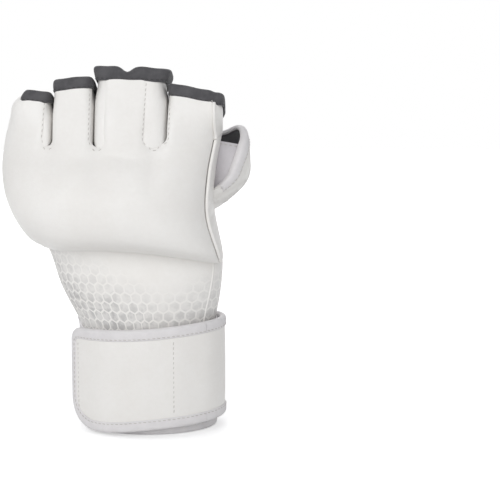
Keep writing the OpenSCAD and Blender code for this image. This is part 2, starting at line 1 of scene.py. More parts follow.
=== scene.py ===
"""Dresses the padded open-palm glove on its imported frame: leather, tape, lining, stitching, light and camera.

Lengths inside the classes are millimetres, in the frame's own axes: X to the thumb side, Y out of the palm,
Z to the fingertips. An angle round the hand is 0 at the thumb side, 90 at the palm, 180 at the little finger
and 270 at the back of the hand.
"""
from __future__ import annotations

import logging
from dataclasses import dataclass, field
from enum import Enum
from typing import Callable, Sequence

import bpy
import numpy as np
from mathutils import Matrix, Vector

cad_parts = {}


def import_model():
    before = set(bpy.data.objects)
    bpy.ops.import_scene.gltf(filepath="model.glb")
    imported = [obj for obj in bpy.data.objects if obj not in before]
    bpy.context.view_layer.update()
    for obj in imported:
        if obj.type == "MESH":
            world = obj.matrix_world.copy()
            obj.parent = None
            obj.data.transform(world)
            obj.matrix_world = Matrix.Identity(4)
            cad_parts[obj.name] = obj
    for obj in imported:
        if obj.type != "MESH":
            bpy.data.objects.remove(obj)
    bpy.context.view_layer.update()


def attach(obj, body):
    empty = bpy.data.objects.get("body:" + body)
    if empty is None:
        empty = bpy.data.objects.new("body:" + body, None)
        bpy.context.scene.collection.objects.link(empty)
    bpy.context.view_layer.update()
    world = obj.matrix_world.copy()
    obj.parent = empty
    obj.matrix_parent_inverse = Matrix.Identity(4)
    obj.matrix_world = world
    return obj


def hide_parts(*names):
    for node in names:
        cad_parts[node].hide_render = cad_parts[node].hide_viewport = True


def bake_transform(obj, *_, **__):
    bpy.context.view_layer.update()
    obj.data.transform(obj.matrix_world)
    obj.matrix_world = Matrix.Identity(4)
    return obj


LOG = logging.getLogger("glove")
MM = 0.001
Array = np.ndarray
Stations = Sequence[tuple]


class Finger(Enum):
    """The four stalls, from the little finger to the index finger."""

    LITTLE = 0
    RING = 1
    MIDDLE = 2
    INDEX = 3

    @property
    def label(self) -> str:
        """Name of the finger as the frame spells it."""
        return self.name.lower()

    @property
    def body(self) -> str:
        """Name of the moving body that the stall belongs to."""
        return f"{self.label}_finger"


def mix(a: Array | float, b: Array | float, t: Array | float) -> Array | float:
    """Value between a and b at share t."""
    return a + (b - a) * t


def ease(t: Array | float) -> Array:
    """Smooth step from 0 to 1, flat outside that range."""
    s = np.clip(np.asarray(t, float), 0, 1)
    return s * s * (3 - 2 * s)


def curve(t: Array | float, stations: Stations) -> Array:
    """Smooth curve through stations.

    Args:
        t: Places to read, of any shape.
        stations: Pairs of place and value, where a value is a number or a list.

    Returns:
        The values at t, with the value's own axis last.
    """
    places = np.array([s[0] for s in stations], float)
    values = np.array([s[1] for s in stations], float)
    t = np.asarray(t, float)
    last = len(places) - 1
    low = np.maximum(np.arange(last + 1) - 1, 0)
    high = np.minimum(np.arange(last + 1) + 1, last)
    run = places[high] - places[low]
    slopes = (values[high] - values[low]) / (run[:, None] if values.ndim > 1 else run)
    i = np.clip(np.searchsorted(places, t, side="right") - 1, 0, last - 1)
    h = places[i + 1] - places[i]
    s = np.clip((t - places[i]) / h, 0, 1)
    if values.ndim > 1:
        s, h = s[..., None], h[..., None]
    return (
        (2 * s**3 - 3 * s**2 + 1) * values[i]
        + (s**3 - 2 * s**2 + s) * h * slopes[i]
        + (3 * s**2 - 2 * s**3) * values[i + 1]
        + (s**3 - s**2) * h * slopes[i + 1]
    )


def power(v: Array, e: Array | float) -> Array:
    """Signed power of v."""
    return np.sign(v) * np.abs(v) ** e


def outline(box: Array, n: Array | float, phi: Array | float, off: Array | float = 0.0) -> tuple[Array, Array]:
    """Point of a rounded outline round a box, at a distance outside it.

    Args:
        box: Little-finger side, thumb side, back and palm, on the last axis.
        n: Squareness, where 2 is an ellipse.
        phi: Angle round the outline in degrees.
        off: Distance outside the outline.

    Returns:
        The x and y of the point.
    """
    a = (box[..., 1] - box[..., 0]) / 2 + off
    b = (box[..., 3] - box[..., 2]) / 2 + off
    rad = np.radians(phi)
    x = (box[..., 0] + box[..., 1]) / 2 + a * power(np.cos(rad), 2 / n)
    y = (box[..., 2] + box[..., 3]) / 2 + b * power(np.sin(rad), 2 / n)
    return x, y


def stack(x: Array, y: Array, z: Array) -> Array:
    """Points from three arrays of coordinates that broadcast together."""
    return np.stack(np.broadcast_arrays(x, y, z), axis=-1).astype(float)


@dataclass(frozen=True)
class Slit:
    """Stitched gap between two finger pads: its foot and the places of its two edges, low and high."""

    foot: float
    left: tuple[float, float]
    right: tuple[float, float]

    def edge(self, h: Array, side: int, top: float = 42.0, bowl: float = 5.0) -> Array:
        """Place across of one edge of the slit.

        Args:
            h: Heights above the finger crease.
            side: -1 for the left edge and 1 for the right edge.
            top: Height where the edge reaches its upper place.
            bowl: Height of the rounded foot.

        Returns:
            The x of the edge at each height.
        """
        low, high = self.left if side < 0 else self.right
        spread = np.sqrt(np.clip(1 - (1 - np.clip(h / bowl, 0, 1)) ** 2, 0, 1))
        climb = np.clip((h - bowl) / (top - bowl), 0, 1)
        return mix(self.foot, mix(low, high, climb), spread)


@dataclass(frozen=True)
class GloveForm:
    """Shapes that the pieces of the glove share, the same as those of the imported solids."""

    leather: float = 1.5
    gap: float = 0.3
    tape: float = 0.9
    tape_w: float = 6.0
    wall: float = 2.8
    cuff_h: float = 65.0
    cuff_box: tuple = (-40.0, 40.0, -28.5, 28.5)
    cuff_t: float = 3.0
    crease_z: float = 137.0
    hem_z: float = 164.0
    hand_stations: tuple = (
        (65, (-43, 40, -28.5, 28.5)),
        (88, (-54.5, 44, -27.5, 27)),
        (107, (-60.5, 44.5, -25.5, 23.5)),
        (137, (-73, 37, -24, 19)),
        (164, (-79, 38, -22, 15)),
        (186, (-79, 42, -21, 12)),
    )
    hand_square: tuple = ((65, 2), (107, 2.3), (186, 2.6))
    flex_at_palm: float = 186.0
    flex_y: float = 12.3
    flex_slope: float = 14 / (12.3 + 38.5)
    pad_n: float = 2.8
    pad_side: float = 87.9
    pad_mid_y: float = 2.0
    pad_front: float = 51.0
    pad_root_front: float = 27.3
    pad_flex_front: float = 38.5
    side_share: tuple = (
        (0, 0.745), (0.07, 0.826), (0.27, 0.923), (0.49, 0.982), (0.72, 1), (0.86, 0.992), (1, 0.974),
    )
    front_rise: tuple = ((0, 0.08), (0.03, 0.38), (0.06, 0.6), (0.15, 0.84), (0.31, 0.98), (0.54, 1))
    front_fall: tuple = ((0.54, 1), (0.77, 0.56), (0.92, 0.145), (1, 0), (1.12, -0.2))
    stall_n: float = 6.0
    stall_low_n: float = 9.0
    stall_palm_n: float = 3.2
    lobe: float = 3.0
    slit_depth: float = 1.6
    stall_edges: tuple = (-54.3, -29.8, 13.0)
    stall_rises: tuple = (19.0, 26.3, 32.8, 20.6)
    tape_widths: tuple = (6.0, 6.6, 7.8, 6.8)
    rim_falls: tuple = (12.0, 13.0, 8.0, 10.0)
    rim_tilts: tuple = (-0.08, 0.1, -0.03, -0.19)
    rim_front: float = 27.0
    rim_palm: float = 9.0
    rim_bow: float = 1.7
    little_flare: float = 7.0
    little_share: tuple = (
        (0, 0.974), (0.3, 0.949), (0.514, 0.926), (0.74, 0.907), (0.854, 0.883), (0.93, 0.857), (1, 0.82),
    )
    little_wall: tuple = ((0, -83.6), (0.5, -79.0), (0.8, -73.2), (1, -69.6))
    index_edge: float = 45.5
    slits: tuple = (
        Slit(-55.8, (-58.6, -56.0), (-53.0, -53.1)),
        Slit(-26.8, (-31.0, -31.0), (-23.4, -22.8)),
        Slit(6.0, (0.2, 2.6), (13.2, 14.4)),
    )
    seam_x: float = 40.2
    thumb_n: float = 2.2
    thumb_stations: tuple = (
        (137, (-17, 45, -10, 21)),
        (150, (-14, 58, -14, 31)),
        (165, (-13, 62, -16, 35)),
        (186, (-10, 58, -17, 34)),
    )
    arch_drop: tuple = (
        (0, 2.3), (10, 0.9), (22, 0.2), (35, 1.2), (55, 4), (80, 4.5), (105, 6), (125, 12.5), (140, 23), (150, 36),
        (161, 47.9),
    )
    palm_edge: tuple = (
        (-75, -9), (-62, -17), (-51, -26), (-42, -30.5), (-33, -26), (-24, -15), (-14, 0), (60, 0),
    )
    strap_w: float = 60.0
    strap_t: float = 2.2
    strap_z: float = 35.5
    strap_rise: float = 5 / 80
    strap_end: float = 194.0
    strap_start: float = 518.0
    strap_offs: tuple = ((194, 6.5), (218, 4.5), (330, 4.5), (375, 3.0), (518, 3.0))

    def hand_box(self, z: Array | float) -> Array:
        """Box round the hand at a height."""
        return curve(z, self.hand_stations)

    def hand(self, phi: Array | float, z: Array | float, off: Array | float = 0.0) -> Array:
        """Outer leather surface of the hand."""
        phi, z = np.broadcast_arrays(np.asarray(phi, float), np.asarray(z, float))
        x, y = outline(self.hand_box(z), curve(z, self.hand_square), phi, off)
        return stack(x, y, z)

    def palm_y(self, x: Array, z: Array) -> Array:
        """Palm side of the hand at a place across and a height."""
        x, z = np.broadcast_arrays(np.asarray(x, float), np.asarray(z, float))
        box, n = self.hand_box(z), curve(z, self.hand_square)
        share = np.abs(x - (box[..., 0] + box[..., 1]) / 2) / ((box[..., 1] - box[..., 0]) / 2)
        mid, deep = (box[..., 2] + box[..., 3]) / 2, (box[..., 3] - box[..., 2]) / 2
        return mid + deep * np.clip(1 - share**n, 0, 1) ** (1 / n)

    def flat_u(self, phi: Array) -> Array:
        """Distance round the hand of an angle, at the level of the print, which is crowded on the little-finger side."""
        turn = np.linspace(-10, 370, 761)
        crowd = np.where(turn > 180, 0.85 + 0.4 * ease((300 - turn) / 90), 1.0)
        steps = np.diff(along(self.hand(turn, 92.0))) * crowd[1:]
        return np.interp(phi, turn, np.concatenate([[0.0], np.cumsum(steps)]))

    def flex_z(self, y: Array | float) -> Array | float:
        """Height of the sloping plane where the fingers bend."""
        return self.flex_at_palm + (y - self.flex_y) * self.flex_slope

    def lip_z(self, x: Array | float) -> Array | float:
        """Height of the knuckle pad's lower lip."""
        return 107 - 0.086 * x + 3.3 * np.clip(1 - ((np.asarray(x) + 5) / 45) ** 2, 0, None)

    def pad_depth(self, v: Array) -> Array:
        """Depth of the knuckle pad's front, ahead of the wrist's middle."""
        v = np.asarray(v, float)
        low = mix(self.pad_root_front, self.pad_front, curve(v, self.front_rise))
        high = mix(self.pad_flex_front, self.pad_front, curve(v, self.front_fall))
        return np.where(v < 0.54, low, high)

    def pad_box(self, v: Array) -> Array:
        """Box round the knuckle pad, from its lip, 0, to the finger crease, 1."""
        v = np.asarray(v, float)
        depth = self.pad_depth(v)
        right = self.hand_box(mix(107, 186, v))[..., 1] + 3.0
        left = -self.pad_side * curve(v, self.side_share)
        return np.stack([left, right, -depth, 2 * self.pad_mid_y + depth], axis=-1)

    def pad_share(self, x: Array) -> Array:
        """Share across the pad's half width of a place at the finger crease."""
        box = self.pad_box(np.array(1.0))
        return (x - (box[0] + box[1]) / 2) / ((box[1] - box[0]) / 2)

    def pad_xy(self, share: Array, v: Array) -> tuple[Array, Array]:
        """Point of the pad's back half at a share across its half width."""
        box = self.pad_box(v)
        half = (box[..., 1] - box[..., 0]) / 2
        x = (box[..., 0] + box[..., 1]) / 2 + half * share
        bulge = np.clip(1 - np.abs(share) ** self.pad_n, 0, 1) ** (1 / self.pad_n)
        return x, self.pad_mid_y - (self.pad_mid_y - box[..., 2]) * bulge

    def pad_z(self, x: Array, y: Array, v: Array) -> Array:
        """Height of a point of the knuckle pad."""
        return mix(self.lip_z(x), self.flex_z(y), v)

    def pad(self, phi: Array, v: Array, off: Array | float = 0.0) -> Array:
        """Outer surface of the knuckle pad by angle."""
        phi, v = np.broadcast_arrays(np.asarray(phi, float), np.asarray(v, float))
        x, y = outline(self.pad_box(v), self.pad_n, phi, off)
        return stack(x, y, self.pad_z(x, y, v))

    def stall_left(self, finger: Finger, t: Array) -> Array:
        """Little-finger side of a stall, before its clearance."""
        if finger is Finger.LITTLE:
            return -self.pad_side * curve(t, self.little_share)
        return np.full(np.shape(t), self.stall_edges[finger.value - 1])

    def stall_right(self, finger: Finger, t: Array) -> Array:
        """Thumb side of a stall, before its clearance."""
        if finger is Finger.INDEX:
            return mix(45.0, self.index_edge, np.asarray(t, float))
        return np.full(np.shape(t), self.stall_edges[finger.value])

    def stall_mid(self, finger: Finger) -> float:
        """Middle of a stall at its rim."""
        one = np.array(1.0)
        inset = self.tape + 2 * self.gap
        left = self.stall_left(finger, one) + (0 if finger is Finger.LITTLE else inset)
        right = self.stall_right(finger, one) - (0 if finger is Finger.INDEX else inset)
        return float(left + right) / 2

    def palm_share(self, y: Array) -> Array:
        """Share of the way from the back of a rim to its palm side."""
        return (y + self.rim_front) / (self.rim_palm + self.rim_front)

    def rim_z(self, finger: Finger, x: Array, y: Array) -> Array:
        """Height of a stall's rim."""
        k = finger.value
        rise = self.flex_at_palm + self.stall_rises[k]
        fall = np.clip(self.palm_share(y), 0, None) ** self.rim_bow
        return rise + self.rim_tilts[k] * (x - self.stall_mid(finger)) - self.rim_falls[k] * fall

    def back_height(self, finger: Finger, x: Array) -> Array:
        """Height of the back of a stall above the finger crease."""
        y = -self.rim_front
        return self.rim_z(finger, x, y) - self.flex_z(y)

    def front_depth(self, finger: Finger, x: Array, h: Array) -> Array:
        """Depth of a finger pad's front at a height above the crease."""
        q = np.clip(h / (self.back_height(finger, x) - self.tape_widths[finger.value]), 0, 1.15)
        return np.where(q < 1, mix(27.7, self.pad_flex_front, np.clip(1 - q, 0, 1) ** 1.15), 27.5)

    def pad_ends(self, finger: Finger) -> tuple[float, float]:
        """Ends of a finger pad at the crease."""
        k = finger.value
        left = float(self.pad_box(np.array(1.0))[0]) if finger is Finger.LITTLE else self.slits[k - 1].foot
        return left, self.seam_x if finger is Finger.INDEX else self.slits[k].foot

    def pad_edges(self, finger: Finger, h: Array) -> tuple[Array, Array]:
        """Ends of a finger pad at a height above the crease."""
        k = finger.value
        h = np.asarray(h, float)
        if finger is Finger.LITTLE:
            t = h / self.back_height(finger, np.array(self.stall_mid(finger)))
            left = self.stall_left(finger, t)
        else:
            left = self.slits[k - 1].edge(h, 1)
        right = self.seam_x - 0.01 * h if finger is Finger.INDEX else self.slits[k].edge(h, -1)
        return left, right

    def climb(self, finger: Finger, x: Array, h: Array) -> Array:
        """Eased share of the way from the crease, 0, to the rim tape, 1."""
        return ease(h / (self.back_height(finger, x) - self.tape_widths[finger.value]))

    def section_y(self, finger: Finger, x: Array, h: Array) -> Array:
        """Front of a finger pad, which follows the knuckle pad at the crease and the stall at the rim.

        Args:
            finger: The finger.
            x: Places across.
            h: Heights above the crease.

        Returns:
            The y of the front.
        """
        left, right = self.pad_edges(finger, h)
        a, b = self.pad_ends(finger)
        flat = b - (b - a) * (b - x) / (b - left) if finger is Finger.LITTLE else x
        share = np.clip(self.pad_share(flat), -1, 1)
        front = self.front_depth(finger, x, h)
        bulge = np.clip(1 - np.abs(share) ** self.pad_n, 0, 1) ** (1 / self.pad_n)
        low = self.pad_mid_y - (self.pad_mid_y + front) * bulge
        one = np.array(1.0)
        inset = self.tape + 2 * self.gap
        climb = self.climb(finger, x, h)
        spread = 0.7 + 5 * (1 - climb)
        ends = (
            left + spread if finger is Finger.LITTLE else self.stall_left(finger, one) + inset,
            self.stall_right(finger, one) - (0 if finger is Finger.INDEX else inset),
        )
        c = np.clip(np.abs(x - (ends[0] + ends[1]) / 2) / ((ends[1] - ends[0]) / 2 + spread), 0, 1)
        n = np.where((x < (ends[0] + ends[1]) / 2) & (finger is Finger.LITTLE), 2.6, self.stall_n)
        high = -9 - (front - 9) * (1 - c**n) ** (1 / n)
        return mix(low, high, climb)

    def stall_box(self, finger: Finger, t: Array) -> Array:
        """Box round a stall at a share of its height."""
        mid = np.full(np.shape(t), self.stall_mid(finger))
        height = self.back_height(finger, mid)
        inset = mix(0.12, self.tape + 2 * self.gap, ease((t * height / (height - self.tape_w) - 0.62) / 0.3))
        left = curve(t, self.little_wall) if finger is Finger.LITTLE else self.stall_left(finger, t) + inset
        right = self.stall_right(finger, t) - (0.0 if finger is Finger.INDEX else inset)
        if finger is Finger.MIDDLE:
            left, right = left - 1.0 * ease((t - 0.86) / 0.1), right + 3.0 * ease((t - 0.8) / 0.15)
        return np.stack([left, right, -mix(24.4, 27.0, t), mix(12.0, self.rim_palm, t)], axis=-1)

    def stall(self, finger: Finger, phi: Array, t: Array, off: Array | float = 0.0, behind: float = -1.0) -> Array:
        """Outer surface of a stall, from the crease, 0, to the rim, 1.

        Args:
            finger: The finger that the stall is for.
            phi: Angles round the stall in degrees.
            t: Shares of its height.
            off: Distance outside the surface.
            behind: Where not negative, the stall's back lies this far behind the finger pad's front at the crease.

        Returns:
            Points of the surface.
        """
        phi, t = np.broadcast_arrays(np.asarray(phi, float), np.asarray(t, float))
        box = self.stall_box(finger, t)
        left, right = box[..., 0], box[..., 1]
        sine = np.sin(np.radians(phi))
        back_n = mix(self.stall_low_n, self.stall_n, ease((t - 0.45) / 0.4))
        n = np.where(sine < 0, back_n, mix(6.0, self.stall_palm_n, ease((t - 0.2) / 0.6)))
        x, y = outline(box, n, phi, off)
        if behind >= 0:
            h = t * self.back_height(finger, x)
            mid = (box[..., 2] + box[..., 3]) / 2
            full = np.abs(sine) ** (2 / n)
            inside = ease((self.seam_x + 1 - x) / 4) if finger is Finger.INDEX else 1.0
            deep = self.section_y(finger, x, h) + mix(behind * inside, 0.3, self.climb(finger, x, h)) - off
            deep = np.minimum(deep, mid - 1.0)
            palm = mix(self.palm_y(np.clip(x, -70, 33), 184.0), box[..., 3], ease(t / 0.55)) + off
            hem = 1 - self.tape_w / (self.stall_rises[finger.value] - self.rim_falls[finger.value])
            swell = self.lobe * ease(2.2 * t / hem) * ease(2.2 * (0.96 * hem - t) / hem)
            for edge in self.stall_edges:
                palm = palm + swell * np.exp(-(((x - edge) / 4.0) ** 2))
            y = mid + full * (np.where(sine < 0, deep, palm) - mid)
        z = mix(self.flex_z(y), self.rim_z(finger, x, y), t)
        if finger is Finger.LITTLE:
            x = x - self.little_flare * t * ease((self.palm_share(y) - 0.35) / 0.65) * (right - x) / (right - left)
        return stack(x, y, z)

    def thumb(self, phi: Array, z: Array, off: Array | float = 0.0) -> Array:
        """Outer surface of the thumb panel."""
        phi, z = np.broadcast_arrays(np.asarray(phi, float), np.asarray(z, float))
        x, y = outline(curve(z, self.thumb_stations), self.thumb_n, phi, off)
        return stack(x, y, z)

    def arch_z(self, phi: Array) -> Array:
        """Height of the thumb's free edge."""
        return 186 - self.tape - self.gap - curve(phi, self.arch_drop)

    def palm_top(self, phi: Array) -> Array:
        """Upper edge of the lower palm."""
        x = self.hand(phi, 122.0)[..., 0]
        return np.minimum(self.crease_z - self.gap, self.crease_z + curve(x, self.palm_edge))

    def strap(self, phi: Array, h: Array, off: Array | float = 0.0) -> Array:
        """Strap surface, measured from its inner face.

        Args:
            phi: Angles along the strap, which pass 360 where it goes round to the palm.
            h: Heights from the strap's middle line.
            off: Distance outside the inner face.

        Returns:
            Points of the surface.
        """
        phi, h = np.broadcast_arrays(np.asarray(phi, float), np.asarray(h, float))
        x, y = outline(np.array(self.cuff_box), 2, phi, curve(phi, self.strap_offs) + off)
        return stack(x, y, self.strap_z + self.strap_rise * x + h)


FORM = GloveForm()


def grid_faces(rows: int, cols: int, closed: bool = False, start: int = 0) -> list[tuple[int, ...]]:
    """Quads of a grid, facing outward where columns run with the angle and rows run up.

    Args:
        rows: Number of rows of points.
        cols: Number of columns of points.
        closed: Whether the last column joins the first.
        start: Number of the first point.

    Returns:
        The quads as point numbers.
    """
    out = []
    for r in range(rows - 1):
        for c in range(cols if closed else cols - 1):
            d = (c + 1) % cols
            a, b = start + r * cols, start + (r + 1) * cols
            out.append((a + c, a + d, b + d, b + c))
    return out


def make_object(name: str, points: Array, faces: Sequence[tuple[int, ...]], uv: Array | None = None) -> bpy.types.Object:
    """Smooth mesh object from points in millimetres.

    Args:
        name: Name of the new piece.
        points: Its points.
        faces: Its faces as point numbers.
        uv: Place of each point on the flat sheet, in millimetres.

    Returns:
        The new object, at the origin.
    """
    mesh = bpy.data.meshes.new(name)
    mesh.from_pydata((np.asarray(points, float).reshape(-1, 3) * MM).tolist(), [], list(faces))
    if uv is not None:
        layer = mesh.uv_layers.new(name="sheet")
        flat = np.asarray(uv, float).reshape(-1, 2) * MM
        loops = np.empty(len(mesh.loops), int)
        mesh.loops.foreach_get("vertex_index", loops)
        layer.data.foreach_set("uv", flat[loops].ravel())
    mesh.polygons.foreach_set("use_smooth", np.ones(len(mesh.polygons), bool))
    mesh.update()
    obj = bpy.data.objects.new(name, mesh)
    bpy.context.scene.collection.objects.link(obj)
    return obj


def sheet_uv(points: Array) -> Array:
    """Flat place of each point of a grid, by the distance along its rows and columns."""
    u = np.zeros(points.shape[:2])
    v = np.zeros(points.shape[:2])
    u[:, 1:] = np.cumsum(np.linalg.norm(np.diff(points, axis=1), axis=-1), axis=1)
    v[1:, :] = np.cumsum(np.linalg.norm(np.diff(points, axis=0), axis=-1), axis=0)
    return np.stack([u - u.mean(axis=1, keepdims=True), v], axis=-1)


@dataclass(frozen=True)
class Cut:
    """Flat size of a sheet before it was sewn, in metres and square metres."""

    width: float
    length: float
    area: float


CUTS: dict[str, Cut] = {}


def flat_cut(points: Array, closed: bool) -> Cut:
    """Size that a grid of points has when it is laid flat."""
    ring = np.concatenate([points, points[:, :1]], axis=1) if closed else points
    across, up = np.diff(ring, axis=1), np.diff(ring, axis=0)
    width = np.linalg.norm(across, axis=-1).sum(axis=1).max()
    length = np.linalg.norm(up, axis=-1).sum(axis=0).max()
    first = np.linalg.norm(np.cross(across[:-1], up[:, :-1]), axis=-1)
    second = np.linalg.norm(np.cross(across[1:], up[:, 1:]), axis=-1)
    return Cut(width * MM, length * MM, (first + second).sum() / 2 * MM * MM)


def grid_object(name: str, points: Array, closed: bool = False, uv: Array | None = None) -> bpy.types.Object:
    """Mesh object from a grid of points, rows first, whose flat cut is noted."""
    rows, cols = points.shape[:2]
    CUTS[name] = flat_cut(points, closed)
    flat = sheet_uv(points) if uv is None else uv
    return make_object(name, points, grid_faces(rows, cols, closed), flat)


def drawn_in(rings: Array, by: float) -> Array:
    """Rings of points moved inward, square to the rings, by a distance."""
    step = np.roll(rings, -2, axis=1) - np.roll(rings, 2, axis=1)
    inward = stack(-step[..., 1], step[..., 0], 0 * step[..., 2])
    return rings + by * unit(inward)


def double_wall(name: str, rings: Array, thickness: float) -> bpy.types.Object:
    """Closed piece between rings of points and the same rings drawn in, whose flat cut is noted."""
    rows = np.concatenate([rings, drawn_in(rings, thickness)[::-1]])
    count, cols = rows.shape[:2]
    flat = sheet_uv(rings)
    last = (count - 1) * cols
    faces = grid_faces(count, cols, closed=True)
    faces += [(last + c, last + (c + 1) % cols, (c + 1) % cols, c) for c in range(cols)]
    CUTS[name] = flat_cut(rings, True)
    return make_object(name, rows, faces, np.concatenate([flat, flat[::-1]]))


def settle(obj: bpy.types.Object) -> bpy.types.Object:
    """Applies every modifier of a piece."""
    graph = bpy.context.evaluated_depsgraph_get()
    mesh = bpy.data.meshes.new_from_object(obj.evaluated_get(graph), preserve_all_data_layers=True, depsgraph=graph)
    old = obj.data
    obj.modifiers.clear()
    obj.data = mesh
    bpy.data.meshes.remove(old)
    mesh.name = obj.name
    return obj


def thicken(obj: bpy.types.Object, thickness: float, inside: int = 0, rim: int = 0) -> bpy.types.Object:
    """Gives a sheet its thickness, inward from its outer face.

    Args:
        obj: The sheet.
        thickness: Its thickness in millimetres.
        inside: Steps from the outer face's material to the inner face's.
        rim: Steps from the outer face's material to the edge's.

    Returns:
        The same object.
    """
    for _ in range(2 if inside or rim else 0):
        obj.data.materials.append(None)
    mod = obj.modifiers.new("thickness", "SOLIDIFY")
    mod.thickness = thickness * MM
    mod.offset = -1
    mod.material_offset = inside
    mod.material_offset_rim = rim
    settle(obj)
    obj.data.set_sharp_from_angle(angle=np.radians(50))
    return obj


def round_off(obj: bpy.types.Object, levels: int = 1) -> bpy.types.Object:
    """Smooths a piece by subdivision."""
    mod = obj.modifiers.new("round", "SUBSURF")
    mod.levels = levels
    mod.render_levels = levels
    return settle(obj)


def even_turns(n: float, wide: float, deep: float, count: int) -> Array:
    """Angles that lie evenly along a rounded outline.

    Args:
        n: Squareness of the outline.
        wide: Half its width.
        deep: Half its depth.
        count: Number of angles, a multiple of four.

    Returns:
        The angles in degrees, from 0.
    """
    s = np.linspace(0, 1, 600)
    p = n / 2 + 0.5
    q = 90 * s**p / (s**p + (1 - s) ** p)
    x, y = wide * np.cos(np.radians(q)) ** (2 / n), deep * np.sin(np.radians(q)) ** (2 / n)
    run = along(stack(x, y, 0 * x))
    first = np.interp(np.arange(count // 4) * run[-1] * 4 / count, run, q)
    second = 180 - np.interp(run[-1] - np.arange(count // 4) * run[-1] * 4 / count, run, q)
    half = np.concatenate([first, second])
    return np.concatenate([half, half + 180])


def along(points: Array) -> Array:
    """Distance along a line of points."""
    return np.concatenate([[0.0], np.cumsum(np.linalg.norm(np.diff(points, axis=0), axis=1))])


def unit(v: Array) -> Array:
    """Vectors of length one."""
    return v / np.maximum(np.linalg.norm(v, axis=-1, keepdims=True), 1e-9)


class NodeSet:
    """Small helper that places and joins the nodes of a material or a group."""

    def __init__(self, tree: bpy.types.NodeTree) -> None:
        """Keeps the tree that the nodes go into."""
        self.tree = tree
        self.count = 0

    def add(self, kind: str, **settings: object) -> bpy.types.Node:
        """Places a node.

        Args:
            kind: Blender's name for the node, without its prefix.
            settings: Properties of the node.

        Returns:
            The node.
        """
        node = self.tree.nodes.new(kind if kind.startswith("Node") else f"ShaderNode{kind}")
        node.location = (180 * (self.count % 12), -220 * (self.count // 12))
        self.count += 1
        for key, value in settings.items():
            setattr(node, key, value)
        return node

    def join(self, source: bpy.types.NodeSocket, target: bpy.types.NodeSocket) -> None:
        """Joins two sockets."""
        self.tree.links.new(source, target)

    def put(self, socket: bpy.types.NodeSocket, value: object) -> None:
        """Sets a socket to a value, or joins it to another socket."""
        if isinstance(value, bpy.types.NodeSocket):
            self.join(value, socket)
        else:
            socket.default_value = value

    def math(self, operation: str, *values: object) -> bpy.types.NodeSocket:
        """Result of a math node on numbers or sockets."""
        node = self.add("Math", operation=operation)
        for k, value in enumerate(values):
            self.put(node.inputs[k], value)
        return node.outputs[0]

    def vector(self, operation: str, *values: object) -> bpy.types.NodeSocket:
        """Vector result of a vector math node."""
        node = self.add("VectorMath", operation=operation)
        for k, value in enumerate(values):
            self.put(node.inputs[k], value)
        return node.outputs["Vector"]

    def noise(self, vector: object, scale: float, detail: float = 3.0, rough: float = 0.55) -> bpy.types.NodeSocket:
        """Value of a noise texture."""
        node = self.add("TexNoise")
        self.put(node.inputs["Vector"], vector)
        node.inputs["Scale"].default_value = scale
        node.inputs["Detail"].default_value = detail
        node.inputs["Roughness"].default_value = rough
        return node.outputs["Fac"]

    def span(self, value: object, low: float, high: float, to_low: float, to_high: float) -> bpy.types.NodeSocket:
        """Value carried smoothly from one range to another."""
        node = self.add("MapRange", interpolation_type="SMOOTHSTEP")
        self.put(node.inputs["Value"], value)
        for key, number in zip(("From Min", "From Max", "To Min", "To Max"), (low, high, to_low, to_high)):
            node.inputs[key].default_value = number
        return node.outputs["Result"]

    def tint(self, share: object, first: Sequence[float], second: Sequence[float]) -> bpy.types.NodeSocket:
        """Colour between two colours."""
        node = self.add("Mix", data_type="RGBA")
        self.put(node.inputs["Factor"], share)
        node.inputs["A"].default_value = (*first[:3], 1)
        node.inputs["B"].default_value = (*second[:3], 1)
        return node.outputs["Result"]


